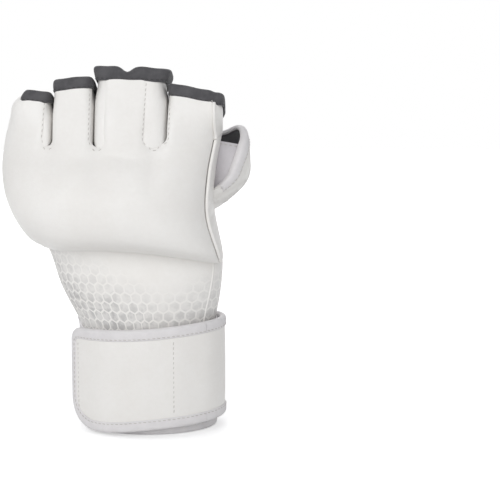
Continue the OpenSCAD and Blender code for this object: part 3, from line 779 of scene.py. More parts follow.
class Effects:
    """Node groups that several finishes use: leather grain, woven tape, nap and the printed cells."""

    def __init__(self) -> None:
        """Builds every group once."""
        self.grain = self._grain()
        self.weave = self._weave()
        self.nap = self._nap()
        self.cells = self._cells()

    @staticmethod
    def _start(name: str, inputs: Sequence[tuple[str, str, object]], outputs: Sequence[tuple[str, str]]) -> NodeSet:
        """Opens a group with its named sockets."""
        tree = bpy.data.node_groups.new(name, "ShaderNodeTree")
        for label, kind, value in inputs:
            socket = tree.interface.new_socket(name=label, in_out="INPUT", socket_type=kind)
            if value is not None:
                socket.default_value = value
        for label, kind in outputs:
            tree.interface.new_socket(name=label, in_out="OUTPUT", socket_type=kind)
        return NodeSet(tree)

    def _grain(self) -> bpy.types.NodeTree:
        """Pebbled leather: a height for the bump and a soft tone."""
        ns = self._start(
            "leather_grain",
            [("Vector", "NodeSocketVector", None), ("Pebbles", "NodeSocketFloat", 900.0)],
            [("Height", "NodeSocketFloat"), ("Tone", "NodeSocketFloat")],
        )
        gin, gout = ns.add("NodeGroupInput"), ns.add("NodeGroupOutput")
        vec = gin.outputs["Vector"]
        cell = ns.add("TexVoronoi", feature="SMOOTH_F1")
        ns.join(vec, cell.inputs["Vector"])
        ns.join(gin.outputs["Pebbles"], cell.inputs["Scale"])
        pebble = ns.math("MULTIPLY", cell.outputs["Distance"], -0.55)
        soft = ns.math("MULTIPLY", ns.noise(vec, 55.0, 2.0), 3.2)
        height = ns.math("ADD", pebble, soft)
        ns.join(height, gout.inputs["Height"])
        broad = ns.noise(vec, 28.0, 4.0, 0.6)
        fine = ns.noise(vec, 420.0, 2.0, 0.5)
        tone = ns.math("ADD", ns.math("MULTIPLY", broad, 0.75), ns.math("MULTIPLY", fine, 0.25))
        ns.join(ns.span(tone, 0.3, 0.7, 0.0, 1.0), gout.inputs["Tone"])
        return ns.tree

    def _weave(self) -> bpy.types.NodeTree:
        """Woven tape: ribs along and across the strip."""
        ns = self._start(
            "tape_weave",
            [("Vector", "NodeSocketVector", None), ("Threads", "NodeSocketFloat", 1700.0)],
            [("Height", "NodeSocketFloat"), ("Tone", "NodeSocketFloat")],
        )
        gin, gout = ns.add("NodeGroupInput"), ns.add("NodeGroupOutput")
        split = ns.add("SeparateXYZ")
        ns.join(gin.outputs["Vector"], split.inputs[0])
        turn = ns.math("MULTIPLY", gin.outputs["Threads"], 6.2832)
        wale = ns.math("SINE", ns.math("MULTIPLY", split.outputs["X"], turn))
        weft = ns.math("SINE", ns.math("MULTIPLY", split.outputs["Y"], turn))
        ribs = ns.math("ADD", ns.math("MULTIPLY", wale, weft), ns.math("MULTIPLY", weft, 0.6))
        ns.join(ns.math("MULTIPLY", ribs, 0.5), gout.inputs["Height"])
        blotch = ns.noise(gin.outputs["Vector"], 130.0, 3.0, 0.6)
        tone = ns.math("ADD", ns.math("MULTIPLY", ribs, 0.12), blotch)
        ns.join(ns.span(tone, 0.25, 0.75, 0.0, 1.0), gout.inputs["Tone"])
        return ns.tree

    def _nap(self) -> bpy.types.NodeTree:
        """Brushed nap: short tangled fibres."""
        ns = self._start(
            "brushed_nap",
            [("Vector", "NodeSocketVector", None), ("Fibres", "NodeSocketFloat", 1400.0)],
            [("Height", "NodeSocketFloat"), ("Tone", "NodeSocketFloat")],
        )
        gin, gout = ns.add("NodeGroupInput"), ns.add("NodeGroupOutput")
        curl = ns.add("TexNoise")
        ns.join(gin.outputs["Vector"], curl.inputs["Vector"])
        ns.join(gin.outputs["Fibres"], curl.inputs["Scale"])
        curl.inputs["Detail"].default_value = 4.0
        curl.inputs["Distortion"].default_value = 2.5
        ns.join(curl.outputs["Fac"], gout.inputs["Height"])
        patchy = ns.noise(gin.outputs["Vector"], 90.0, 3.0, 0.6)
        tone = ns.math("ADD", ns.math("MULTIPLY", curl.outputs["Fac"], 0.7), ns.math("MULTIPLY", patchy, 0.3))
        ns.join(ns.span(tone, 0.3, 0.7, 0.0, 1.0), gout.inputs["Tone"])
        return ns.tree

    def _cells(self) -> bpy.types.NodeTree:
        """Six-sided printed cells: a mask inside each cell and a shade of its own."""
        ns = self._start(
            "printed_cells",
            [("Vector", "NodeSocketVector", None), ("Pitch", "NodeSocketFloat", 0.0073)],
            [("Inside", "NodeSocketFloat"), ("Shade", "NodeSocketFloat")],
        )
        gin, gout = ns.add("NodeGroupInput"), ns.add("NodeGroupOutput")
        split = ns.add("SeparateXYZ")
        ns.join(gin.outputs["Vector"], split.inputs[0])
        px = ns.math("DIVIDE", split.outputs["X"], gin.outputs["Pitch"])
        py = ns.math("DIVIDE", split.outputs["Y"], gin.outputs["Pitch"])
        tall = 3**0.5
        far = []
        for shift in (0.0, 0.5):
            gx = ns.math("SUBTRACT", ns.math("FLOORED_MODULO", ns.math("ADD", px, 40 + shift), 1.0), 0.5)
            gy = ns.math("SUBTRACT", ns.math("FLOORED_MODULO", ns.math("ADD", py, (40 + shift) * tall), tall), tall / 2)
            ax, ay = ns.math("ABSOLUTE", gx), ns.math("ABSOLUTE", gy)
            slant = ns.math("ADD", ns.math("MULTIPLY", ax, 0.5), ns.math("MULTIPLY", ay, tall / 2))
            far.append(ns.math("MAXIMUM", slant, ax))
        edge = ns.math("MINIMUM", far[0], far[1])
        ns.join(ns.span(edge, 0.385, 0.46, 1.0, 0.0), gout.inputs["Inside"])
        cloud = ns.noise(gin.outputs["Vector"], 190.0, 2.0)
        ns.join(ns.span(cloud, 0.35, 0.65, 0.0, 1.0), gout.inputs["Shade"])
        return ns.tree


@dataclass(frozen=True)
class Finish:
    """A plain finish: two close colours, its roughness and the height of its surface detail."""

    name: str
    light: tuple[float, float, float]
    dark: tuple[float, float, float]
    rough: tuple[float, float]
    effect: str
    scale: float
    bump: float
    sheen: float = 0.0
    flat: bool = False
    specular: float = 0.4

    def material(self, effects: Effects) -> bpy.types.Material:
        """Builds the finish as a material.

        Args:
            effects: The shared node groups.

        Returns:
            The material.
        """
        mat = bpy.data.materials.new(self.name)
        mat.use_nodes = True
        mat.node_tree.nodes.clear()
        ns = NodeSet(mat.node_tree)
        shader, out = ns.add("BsdfPrincipled"), ns.add("OutputMaterial")
        ns.join(shader.outputs[0], out.inputs["Surface"])
        place = ns.add("TexCoord").outputs["UV" if self.flat else "Object"]
        group = ns.add("Group")
        group.node_tree = getattr(effects, self.effect)
        ns.join(place, group.inputs["Vector"])
        group.inputs[1].default_value = self.scale
        ns.join(ns.tint(group.outputs["Tone"], self.dark, self.light), shader.inputs["Base Color"])
        ns.join(ns.span(group.outputs["Tone"], 0.0, 1.0, self.rough[1], self.rough[0]), shader.inputs["Roughness"])
        bump = ns.add("Bump")
        bump.inputs["Strength"].default_value = 1.0
        bump.inputs["Distance"].default_value = self.bump * MM
        ns.join(group.outputs["Height"], bump.inputs["Height"])
        ns.join(bump.outputs["Normal"], shader.inputs["Normal"])
        shader.inputs["Specular IOR Level"].default_value = self.specular
        if self.sheen:
            shader.inputs["Sheen Weight"].default_value = self.sheen
            shader.inputs["Sheen Roughness"].default_value = 0.4
        return mat


@dataclass(frozen=True)
class PrintedLeather(Finish):
    """White leather with printed grey cells that fade out between two heights of its flat sheet.

    The print climbs on both sides of the angle where it is lowest.
    """

    ink: tuple[float, float, float] = (0.25, 0.245, 0.25)
    pitch: float = 6.4
    dense: float = 52.0
    clear: float = 91.0
    strength: float = 0.58
    climb: float = 0.55
    lowest: float = 287.0

    def material(self, effects: Effects) -> bpy.types.Material:
        """Builds the leather, then lays the print over its colour.

        Args:
            effects: The shared node groups.

        Returns:
            The material.
        """
        mat = super().material(effects)
        ns = NodeSet(mat.node_tree)
        ns.count = 24
        shader = next(n for n in mat.node_tree.nodes if n.type == "BSDF_PRINCIPLED")
        below = shader.inputs["Base Color"].links[0].from_socket
        place = ns.add("TexCoord").outputs["UV"]
        cells = ns.add("Group")
        cells.node_tree = effects.cells
        cells.inputs["Pitch"].default_value = self.pitch * MM
        ns.join(place, cells.inputs["Vector"])
        split = ns.add("SeparateXYZ")
        ns.join(place, split.inputs[0])
        aside = ns.math("ABSOLUTE", ns.math("SUBTRACT", split.outputs["X"], float(FORM.flat_u(self.lowest)) * MM))
        level = ns.math("SUBTRACT", split.outputs["Y"], ns.math("MULTIPLY", aside, self.climb))
        fade = ns.span(level, self.dense * MM, self.clear * MM, 1.0, 0.0)
        drift = ns.span(ns.noise(place, 32.0, 2.0), 0.3, 0.7, 0.55, 1.0)
        worn = ns.span(cells.outputs["Shade"], 0.0, 1.0, 0.45, 1.0)
        strength = ns.math("MULTIPLY", ns.math("MULTIPLY", fade, drift), ns.math("MULTIPLY", worn, self.strength))
        cover = ns.math("MULTIPLY", strength, cells.outputs["Inside"])
        over = ns.add("Mix", data_type="RGBA")
        ns.join(cover, over.inputs["Factor"])
        ns.join(below, over.inputs["A"])
        over.inputs["B"].default_value = (*self.ink, 1)
        ns.join(over.outputs["Result"], shader.inputs["Base Color"])
        return mat


WHITE_LIGHT = (0.86, 0.845, 0.82)
WHITE_DARK = (0.825, 0.805, 0.775)


@dataclass
class Wardrobe:
    """Every finish of the glove, built once."""

    effects: Effects = field(default_factory=Effects)

    def __post_init__(self) -> None:
        """Builds the materials."""
        finishes = {
            "leather": Finish("white_leather", WHITE_LIGHT, WHITE_DARK, (0.38, 0.5), "grain", 1100.0, 0.09),
            "print": PrintedLeather("printed_leather", WHITE_LIGHT, WHITE_DARK, (0.38, 0.5), "grain", 1100.0, 0.09),
            "palm_print": PrintedLeather("printed_palm_leather", WHITE_LIGHT, WHITE_DARK, (0.38, 0.5), "grain", 1100.0, 0.09,
                                         ink=(0.15, 0.147, 0.15), pitch=6.0, dense=58.0, clear=108.0, strength=0.78, climb=0.22,
                                         lowest=25.0),
            "pale": Finish("pale_tape", (0.83, 0.81, 0.815), (0.77, 0.75, 0.755), (0.6, 0.72), "weave", 1500.0, 0.1,
                           sheen=0.1, flat=True, specular=0.25),
            # The thumb web's lilac grey is partly its own tint and partly painted shade: the leather is darkened to
            # stand for the shade in its recess behind the thumb.
            "web": Finish("grey_leather", (0.66, 0.635, 0.66), (0.6, 0.58, 0.6), (0.4, 0.52), "grain", 1100.0, 0.09),
            "dark": Finish("dark_tape", (0.112, 0.11, 0.116), (0.075, 0.073, 0.078), (0.62, 0.75), "weave", 1400.0, 0.13,
                           sheen=0.12, flat=True, specular=0.25),
            "lining": Finish("black_lining", (0.017, 0.0155, 0.016), (0.009, 0.008, 0.0085), (0.75, 0.9), "nap", 1500.0,
                             0.12, sheen=0.04, specular=0.15),
            "fastener": Finish("hook_and_loop", (0.02, 0.019, 0.02), (0.006, 0.006, 0.006), (0.7, 0.95), "nap", 1100.0,
                               0.5, sheen=0.1, specular=0.2),
            # The thread's own colour is pale; it is given a darker grey that paints the shade in the needle holes
            # between the stitches.
            "thread": Finish("pale_thread", (0.62, 0.6, 0.57), (0.54, 0.52, 0.49), (0.55, 0.7), "nap", 3000.0, 0.03),
            "grey_thread": Finish("grey_thread", (0.06, 0.058, 0.062), (0.04, 0.038, 0.042), (0.6, 0.7), "nap", 3000.0,
                                  0.03),
            "patch": Finish("grey_patch", (0.17, 0.172, 0.19), (0.14, 0.142, 0.158), (0.42, 0.55), "grain", 1800.0, 0.05),
            "patch_pale": Finish("pale_patch", (0.8, 0.8, 0.8), (0.74, 0.74, 0.74), (0.42, 0.55), "grain", 1800.0, 0.04),
            "patch_red": Finish("red_patch", (0.5, 0.032, 0.04), (0.42, 0.025, 0.032), (0.42, 0.55), "grain", 1800.0,
                                0.04),
        }
        self.kit = {key: finish.material(self.effects) for key, finish in finishes.items()}

    def dress(self, obj: bpy.types.Object, *keys: str) -> bpy.types.Object:
        """Gives a piece its materials, in the order of its material numbers."""
        kept = obj.data.materials
        for k, key in enumerate(keys):
            if k < len(kept):
                kept[k] = self.kit[key]
            else:
                kept.append(self.kit[key])
        return obj


@dataclass(frozen=True)
class Carrier:
    """The body a piece is fixed to, or two bodies and the line of a bend between them; such a piece is not bent, only
    baked in place.
    """

    body: str
    other: str | None = None
    start: tuple[float, float, float] = (0.0, 0.0, 0.0)
    end: tuple[float, float, float] = (0.0, 0.0, 0.0)

    def take(self, obj: bpy.types.Object) -> bpy.types.Object:
        """Fixes a finished piece to its one body, or, with two bodies, only bakes its place into its points."""
        if self.other is None:
            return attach(obj, self.body)
        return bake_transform(obj, self.body, self.other, [c * MM for c in self.start], [c * MM for c in self.end])


ROOT = Carrier("glove")
FLEX_START = (0.0, FORM.flex_y, FORM.flex_at_palm)
FLEX_RUN = 22.0
FLEX_END = (0.0, FORM.flex_y - FORM.flex_slope * FLEX_RUN, FORM.flex_at_palm + FLEX_RUN)
BEND = {finger: Carrier("glove", finger.body, FLEX_START, FLEX_END) for finger in Finger}
THUMB_BEND = Carrier("glove", "thumb", (0.0, 23.5, 137.0), (0.0, 23.5, 151.0))
WEB_BEND = Carrier("glove", "thumb", (41.0, -7.0, 160.0), (52.0, -7.0, 160.0))
WRAP_BEND = Carrier("glove", "wrap", (46.0, 0.0, 35.0), (44.0, -16.0, 35.0))
TAB_BEND = Carrier("wrap", "tab", (22.0, -32.0, 35.0), (6.0, -35.0, 35.0))


class Slots(Enum):
    """Names of material slots, which hand_over is given but does not use."""

    LEATHER = "white_leather"
    PALE = "pale_tape"
    DARK = "dark_tape"
    LINING = "black_lining"
    FASTENER = "fastener"
    PATCH = "patch"


def hand_over(obj: bpy.types.Object, carrier: Carrier, slot: Slots, *nodes: str) -> bpy.types.Object:
    """Finishes a piece: fixes it to its body and hides the solids that it stands for.

    Args:
        obj: The finished piece.
        carrier: How it moves.
        slot: The slot for its finish, which is not used.
        nodes: Names of the solids that it replaces.

    Returns:
        The same object.
    """
    carrier.take(obj)
    if nodes:
        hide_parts(*nodes)
    LOG.info("%s: %d faces", obj.name, len(obj.data.polygons))
    return obj


@dataclass
class Seams:
    """Rows of stitches, gathered by what carries them and by thread."""

    pitch: float = 2.9
    length: float = 2.1
    radius: float = 0.23
    runs: dict = field(default_factory=dict)

    def sew(self, path: Array, out: Array, carrier: Carrier, key: str, thread: str = "thread") -> None:
        """Adds a row of stitches along a path.

        Args:
            path: Points of the path on the surface.
            out: Outward direction at each point.
            carrier: What the stitches move with.
            key: Name of the piece of thread that they join.
            thread: Its finish.
        """
        s = along(path)
        count = int(s[-1] / self.pitch)
        if count < 1:
            return
        mids = (np.arange(count) + 0.5) * s[-1] / count
        at = np.stack([np.interp(mids, s, path[:, k]) for k in range(3)], axis=-1)
        ahead = np.stack([np.interp(mids + 0.6, s, path[:, k]) for k in range(3)], axis=-1)
        behind = np.stack([np.interp(mids - 0.6, s, path[:, k]) for k in range(3)], axis=-1)
        normal = unit(np.stack([np.interp(mids, s, out[:, k]) for k in range(3)], axis=-1))
        run = unit(ahead - behind)
        side = unit(np.cross(run, normal))
        run = unit(run + 0.12 * side)
        side = unit(np.cross(run, normal))
        points, faces = self.runs.setdefault((key, thread), (carrier, [], []))[1:]
        turn = np.arange(6) * np.pi / 3
        for p, n, r, b in zip(at, normal, run, side):
            base = len(points)
            points.append(p - r * self.length / 2 - n * 0.12)
            for place, size in ((-0.3, 1.0), (0.3, 1.0)):
                for a in turn:
                    points.append(p + r * self.length * place + self.radius * size * (np.cos(a) * b + np.sin(a) * n))
            points.append(p + r * self.length / 2 - n * 0.12)
            for k in range(6):
                j = (k + 1) % 6
                faces.append((base, base + 1 + j, base + 1 + k))
                faces.append((base + 1 + k, base + 1 + j, base + 7 + j, base + 7 + k))
                faces.append((base + 13, base + 7 + k, base + 7 + j))

    def finish(self, wardrobe: Wardrobe) -> None:
        """Makes one object of each gathered piece of thread."""
        for (key, thread), (carrier, points, faces) in self.runs.items():
            obj = make_object(f"{key}_stitches", np.array(points), faces)
            wardrobe.dress(obj, thread)
            hand_over(obj, carrier, Slots.DARK if thread == "grey_thread" else Slots.LEATHER)


Place = Callable[[Array, Array], Array]


def square_ends(obj: bpy.types.Object, count: int) -> None:
    """Keeps the ends of a strip square when it is rounded off, where each row has a count of points."""
    mesh = obj.data
    ends = np.empty(len(mesh.edges) * 2, int)
    mesh.edges.foreach_get("vertices", ends)
    first, second = (ends.reshape(-1, 2) % count).T
    held = (first == second) & ((first == 0) | (first == count - 1))
    mesh.attributes.new("crease_edge", "FLOAT", "EDGE").data.foreach_set("value", held.astype(float))


def tape_strip(name: str, place: Place, wall: float, width: float, closed: bool = False, puff: float = 0.25,
               inner: float | None = None) -> bpy.types.Object:
    """Folded tape over an edge.

    Args:
        name: Name of the piece.
        place: Gives the points along the edge at a distance inward from it and a distance outside the surface.
        wall: Thickness of what the tape covers.
        width: Width of the tape on the outer face.
        closed: Whether the edge is a loop.
        puff: Fullness of the fold.
        inner: Width on the inner face, where it is not the same.

    Returns:
        The tape as a closed piece.
    """
    t = 0.9

    def flap(w: float) -> list[tuple[float, float]]:
        """Outline of one side of the fold, from its loose edge to the crest."""
        return [(w, 0.1), (w, t * 0.7), (w - 0.5, t), (w * 0.55, t + puff), (0.9, t + puff * 0.8), (0.0, t * 0.8), (-t * 0.75, 0.1)]

    fold = flap(width) + [(-t, -wall / 2)] + [(d, -wall - o) for d, o in reversed(flap(inner or width))]
    profile = fold + [(0.2, -wall), (0.2, 0.0)]
    rows = np.stack([place(np.array(d), np.array(o)) for d, o in profile])
    count = rows.shape[1]
    cols = np.concatenate([rows, rows[:, :1]], axis=1) if closed else rows
    ring = np.concatenate([cols, cols[:1]])
    u = np.broadcast_to(along(cols[3]), ring.shape[:2])
    v = np.broadcast_to(along(ring[:, 0])[:, None], ring.shape[:2])
    uv_all = np.stack([u, v], axis=-1)
    n = len(profile)
    faces, uvs = [], []
    for c in range(count if closed else count - 1):
        d = (c + 1) % count
        for r in range(n):
            q = (r + 1) % n
            faces.append((r * count + c, q * count + c, q * count + d, r * count + d))
            uvs += [uv_all[r, c], uv_all[r + 1, c], uv_all[r + 1, c + 1], uv_all[r, c + 1]]
    if not closed:
        faces.append(tuple(r * count for r in range(n))[::-1])
        uvs += [uv_all[r, 0] for r in range(n)][::-1]
        faces.append(tuple(r * count + count - 1 for r in range(n)))
        uvs += [uv_all[r, -1] for r in range(n)]
    obj = make_object(name, rows, faces)
    layer = obj.data.uv_layers.new(name="sheet")
    layer.data.foreach_set("uv", (np.array(uvs) * MM).ravel())
    if not closed:
        square_ends(obj, count)
    return round_off(obj)


def edge_place(surface: Callable[..., Array], first: Array, second: Array) -> Place:
    """Place function for the tape on an edge of a surface, whose panel lies right of the way the edge runs.

    Args:
        surface: Surface by two coordinates and a distance outside it.
        first: First coordinate of each station of the edge, in degrees.
        second: Second coordinate of each station.

    Returns:
        The function that tape_strip asks for.
    """
    def pace(a: Array, b: Array) -> Array:
        """Millimetres per degree of the first coordinate."""
        return np.linalg.norm(surface(a + 1, b) - surface(a - 1, b), axis=-1) / 2

    step = unit(np.stack([np.gradient(first) * pace(first, second), np.gradient(second)], axis=-1))

    def place(d: Array, o: Array) -> Array:
        """Points at a distance inward and a distance outside."""
        a, b = first, second
        count = int(np.ceil(abs(float(d)))) or 1
        for _ in range(count):
            a, b = a + step[:, 1] / pace(a, b) * d / count, b - step[:, 0] * d / count
        return surface(a, b, o)

    return place


def facing(place: Place, d: float) -> Array:
    """Outward directions of a tape's surface at a distance inward."""
    return unit(place(np.array(d), np.array(2.0)) - place(np.array(d), np.array(0.0)))


class KnucklePad:
    """One skin over the knuckle pad and the four finger pads, cut along the finger crease."""

    slit_steps = (0.0, 0.07, 0.25, 0.55, 1.0, 1.6, 2.4, 3.4, 4.6)
    roll_r = 4.6
    roll_p = 2.3
    low_rows = (
        0.0, 0.012, 0.03, 0.055, 0.09, 0.13, 0.18, 0.24, 0.3, 0.37, 0.44, 0.51, 0.58, 0.65, 0.71, 0.765, 0.81, 0.85,
        0.88, 0.905, 0.927, 0.946, 0.962, 0.975, 0.986, 0.994, 1.0,
    )
    foot_rows = (0.2, 0.55, 1.0, 1.6, 2.4, 3.3, 4.3, 5.5, 7.0)
    high_count = 20
    tuck = 7

    def __init__(self) -> None:
        """Lays out the columns of the skin."""
        form = FORM
        feet = [s.foot for s in form.slits]
        box = form.pad_box(np.array(1.0))
        self.left_x = float(box[0])
        ends = [self.left_x, *feet, form.seam_x]
        self.columns: list[tuple[Finger, float, float]] = []
        steps = np.array(self.slit_steps)
        for finger in Finger:
            a, b = ends[finger.value], ends[finger.value + 1]
            if finger is Finger.LITTLE:
                turn = np.linspace(180, 180 + np.degrees(np.arccos(np.abs(form.pad_share(b - steps[-1])) ** (form.pad_n / 2))), 18)
                c = -np.abs(np.cos(np.radians(turn))) ** (2 / form.pad_n)
                x = (box[0] + box[1]) / 2 + (box[1] - box[0]) / 2 * c
                x = np.concatenate([x, (b - steps[:-1])[::-1]])
            elif finger is Finger.INDEX:
                x = np.concatenate([a + steps, np.linspace(a + steps[-1], b, 20)[1:]])
            else:
                x = np.concatenate([a + steps, np.linspace(a + steps[-1], b - steps[-1], 13)[1:-1], (b - steps)[::-1]])
            self.columns += [(finger, float(v), float((v - a) / (b - a))) for v in x]
        self.finger_of = np.array([c[0].value for c in self.columns])
        self.x_flex = np.array([c[1] for c in self.columns])
        self.x_even = self._even()

    def _even(self) -> Array:
        """Column places with the crowding at the slits spread out."""
        x = self.x_flex
        kernel = np.hanning(23)
        kernel /= kernel.sum()
        padded = np.concatenate([2 * x[0] - x[11:0:-1], x, 2 * x[-1] - x[-2:-13:-1]])
        soft = np.convolve(padded, kernel, mode="valid")
        soft[:10] = x[:10]
        return np.maximum.accumulate(soft)

    def roll(self, x: Array, h: Array, depth: Array, edges: Sequence[tuple[Slit, int]]) -> Array:
        """Distance that the skin turns back beside the slits.

        Args:
            x: Places across.
            h: Heights above the finger crease.
            depth: Full depth of the turn.
            edges: Slits and the sides of them that count.

        Returns:
            The distance back for each point.
        """
        heights = np.concatenate([np.arange(0, 6, 0.08), np.arange(6, 60, 0.5)])
        near = np.full(x.shape, 99.0)
        for slit, side in edges:
            ex = slit.edge(heights, side)
            gap = np.sqrt((x[..., None] - ex) ** 2 + (h[..., None] - heights) ** 2)
            near = np.minimum(near, gap.min(axis=-1))
        u = np.clip(1 - near / self.roll_r, 0, 1)
        return depth * (1 - np.clip(1 - u**self.roll_p, 0, 1) ** (1 / self.roll_p))

    def dimple(self, x: Array, h: Array) -> Array:
        """Shallow valleys that run down from the slits, and creases beside the side seam."""
        out = np.zeros(x.shape)
        for slit in FORM.slits:
            fade = ease((h + 34) / 30) * (1 - ease(h / 9))
            out += 1.5 * np.exp(-(((x - slit.foot) / 6.5) ** 2)) * fade
        side = np.exp(-(((x - 36) / 7) ** 2))
        for low, lean, size in ((-44, 0.55, 1.3), (-36, 0.35, 1.6), (-27, 0.1, 1.1), (-52, 0.9, 1.0)):
            out += size * side * np.exp(-(((h - low - lean * (x - 36)) / 1.8) ** 2))
        across = np.exp(-(((x + 12) / 9) ** 2)) * np.exp(-(((h + 7 + 0.16 * x) / 1.6) ** 2))
        return out + 0.55 * across

    def root_rows(self) -> list[Array]:
        """Rows of the knuckle pad, from under its lip to the finger crease."""
        form = FORM
        rows = []
        lip = None
        for v in self.low_rows:
            fall = (1 - v) * 70
            xi = mix(self.x_flex, self.x_even, ease((fall - 2) / 16))
            share = form.pad_share(xi)
            x, y = form.pad_xy(share, np.full(xi.shape, v))
            h = -(1 - v) * (form.flex_z(y) - form.lip_z(x))
            turned = self.roll(x, h, np.full(x.shape, form.slit_depth + 0.9), [(s, side) for s in form.slits for side in (-1, 1)])
            edge = np.clip(1 - np.abs(share) ** 6, 0, 1)
            y = y + (turned + self.dimple(x, h)) * edge
            row = stack(x, y, form.pad_z(x, y, v))
            rows.append(row)
            if lip is None:
                lip = (row, share)
        base, share = lip
        phi = 360 - np.degrees(np.arccos(np.sign(share) * np.abs(share) ** (form.pad_n / 2)))
        under = []
        for s, lift in ((1.1, 4.0), (0.85, 2.6), (0.55, 0.9), (0.25, -0.35), (0.08, -0.45)):
            target = form.hand(phi, base[:, 2] + lift)
            row = mix(base, target, s)
            row[:, 2] = base[:, 2] + lift
            under.append(row)
        return under + rows

    def finger_row(self, finger: Finger, part: int, share: float) -> Array:
        """One row of a finger pad.

        Args:
            finger: The finger.
            part: 0 for a row at a set height near the crease, 1 for a row higher up.
            share: The height itself, or the share of the rest of the height.

        Returns:
            Points of the row.
        """
        form = FORM
        pick = self.finger_of == finger.value
        xi = self.x_flex[pick]
        k = finger.value
        a, b = form.pad_ends(finger)
        h = np.full(xi.shape, share)
        if part:
            shoulder = 1.8 * ease((-66 - xi) / 14)
            under = form.tape_widths[k] - 3.2
            h = mix(7.0, form.back_height(finger, xi) - under - shoulder, share)
        left, right = form.pad_edges(finger, h)
        rim = self.slit_steps[-1]
        low = rim if finger is not Finger.LITTLE else 0.0
        high = rim if finger is not Finger.INDEX else 0.0
        x = mix(left + low, right - high, (xi - a - low) / (b - a - low - high))
        x = np.where(xi <= a + low, left + (xi - a), x)
        x = np.where(xi >= b - high, right - (b - xi), x)
        y = form.section_y(finger, x, h)
        depth = mix(form.slit_depth, 0.3, form.climb(finger, x, h)) + 0.9
        sides = []
        if finger is not Finger.LITTLE:
            sides.append((form.slits[k - 1], 1))
        if finger is not Finger.INDEX:
            sides.append((form.slits[k], -1))
        y = y + self.roll(x, h, depth, sides) + self.dimple(x, h)
        rim_z = form.rim_z(finger, x, np.maximum(y, -form.rim_front))
        return stack(x, y, mix(form.flex_z(y), rim_z, h / form.back_height(finger, x)))

    def close_left(self, row: Array, reach: float) -> Array:
        """Rounds a row's first end in under the side of the hand."""
        turn = np.linspace(np.pi, 0, self.tuck + 1)[:-1]
        x0, y0, z0 = row[0]
        y = y0 + reach * np.sin(turn)
        return np.concatenate([stack(x0 + reach * (1 - np.cos(turn)), y, z0 + (y - y0) * FORM.flex_slope), row])

    @staticmethod
    def side_reach(row: Array) -> float:
        """How far a row of the little finger's pad turns in to meet its stall."""
        x, y, z = row[0]
        low = FORM.flex_z(y)
        t = (z - low) / (FORM.rim_z(Finger.LITTLE, x, y) - low)
        return max(1.5, (float(FORM.stall_box(Finger.LITTLE, np.array(t))[0]) - x) / 2 + 0.8)

    @staticmethod
    def turn_in(finger: Finger, row: Array, share: float) -> Array:
        """Row drawn in behind the rim tape, which closes the top of a finger pad."""
        middle = np.array((FORM.stall_mid(finger), -FORM.rim_palm, 0.0))
        side = ease((-68 - row[:, :1]) / 6)
        out = row + unit((middle - row) * (1, 1, 0)) * share * mix(2.0, 4.2, side)
        out[:, 2:] += mix(0.2, 1.6, side) * share**0.5
        return out

    @staticmethod
    def close_right(row: Array) -> Array:
        """Turns a row's last end in behind the side seam."""
        end = row[-1]
        return np.concatenate([row, [end + (-0.5, 1.5, 0.3), end + (-2.0, 3.6, 0.8)]])

    def build(self, wardrobe: Wardrobe, seams: Seams) -> None:
        """Builds the skin, cuts it into its five covers and sews its edges.

        Args:
            wardrobe: The finishes.
            seams: The rows of stitches.
        """
        form = FORM
        points: list[Array] = []
        faces: list[tuple[int, ...]] = []
        parts: list[int] = []
        root = []
        for k, row in enumerate(self.root_rows()):
            left_hand = form.hand(180.0, row[0, 2])[0]
            reach = max(1.5, (left_hand - row[0, 0]) / 2 + 0.8)
            root.append(self.close_right(self.close_left(row, reach)))
        grid = np.stack(root)
        rows, cols = grid.shape[:2]
        points.append(grid.reshape(-1, 3))
        faces += grid_faces(rows, cols)
        parts += [0] * len(faces)
        top_row = (rows - 1) * cols
        start = rows * cols
        self.rims: dict[Finger, list[Array]] = {}
        for finger in Finger:
            pick = np.flatnonzero(self.finger_of == finger.value)
            line = [(0, h) for h in self.foot_rows] + [(1, s) for s in np.linspace(0, 1, self.high_count)[1:]]
            body = [self.finger_row(finger, part, share) for part, share in line]
            self.rims[finger] = body
            body = body + [self.turn_in(finger, body[-1], share) for share in (0.4, 1.0)]
            if finger is Finger.LITTLE:
                body = [self.close_left(row, mix(reach, self.side_reach(row), min(1.0, 0.1 * k))) for k, row in enumerate(body)]
                own = list(range(self.tuck)) + list(pick + self.tuck)
            else:
                own = list(pick + self.tuck)
            if finger is Finger.INDEX:
                body = [self.close_right(row) for row in body]
                own += [cols - 2, cols - 1]
            strip = np.stack(body)
            n, width = strip.shape[:2]
            points.append(strip.reshape(-1, 3))
            new = grid_faces(n, width, start=start)
            low = [top_row + c for c in own]
            new += [(low[c], low[c + 1], start + c + 1, start + c) for c in range(width - 1)]
            faces += new
            parts += [finger.value + 1] * len(new)
            start += n * width
        skin = make_object("pad_skin", np.concatenate(points), faces)
        skin.data.polygons.foreach_set("material_index", parts)
        for _ in range(5):
            skin.data.materials.append(None)
        skin = round_off(skin)
        self._cut(skin, wardrobe)
        self._sew(seams)

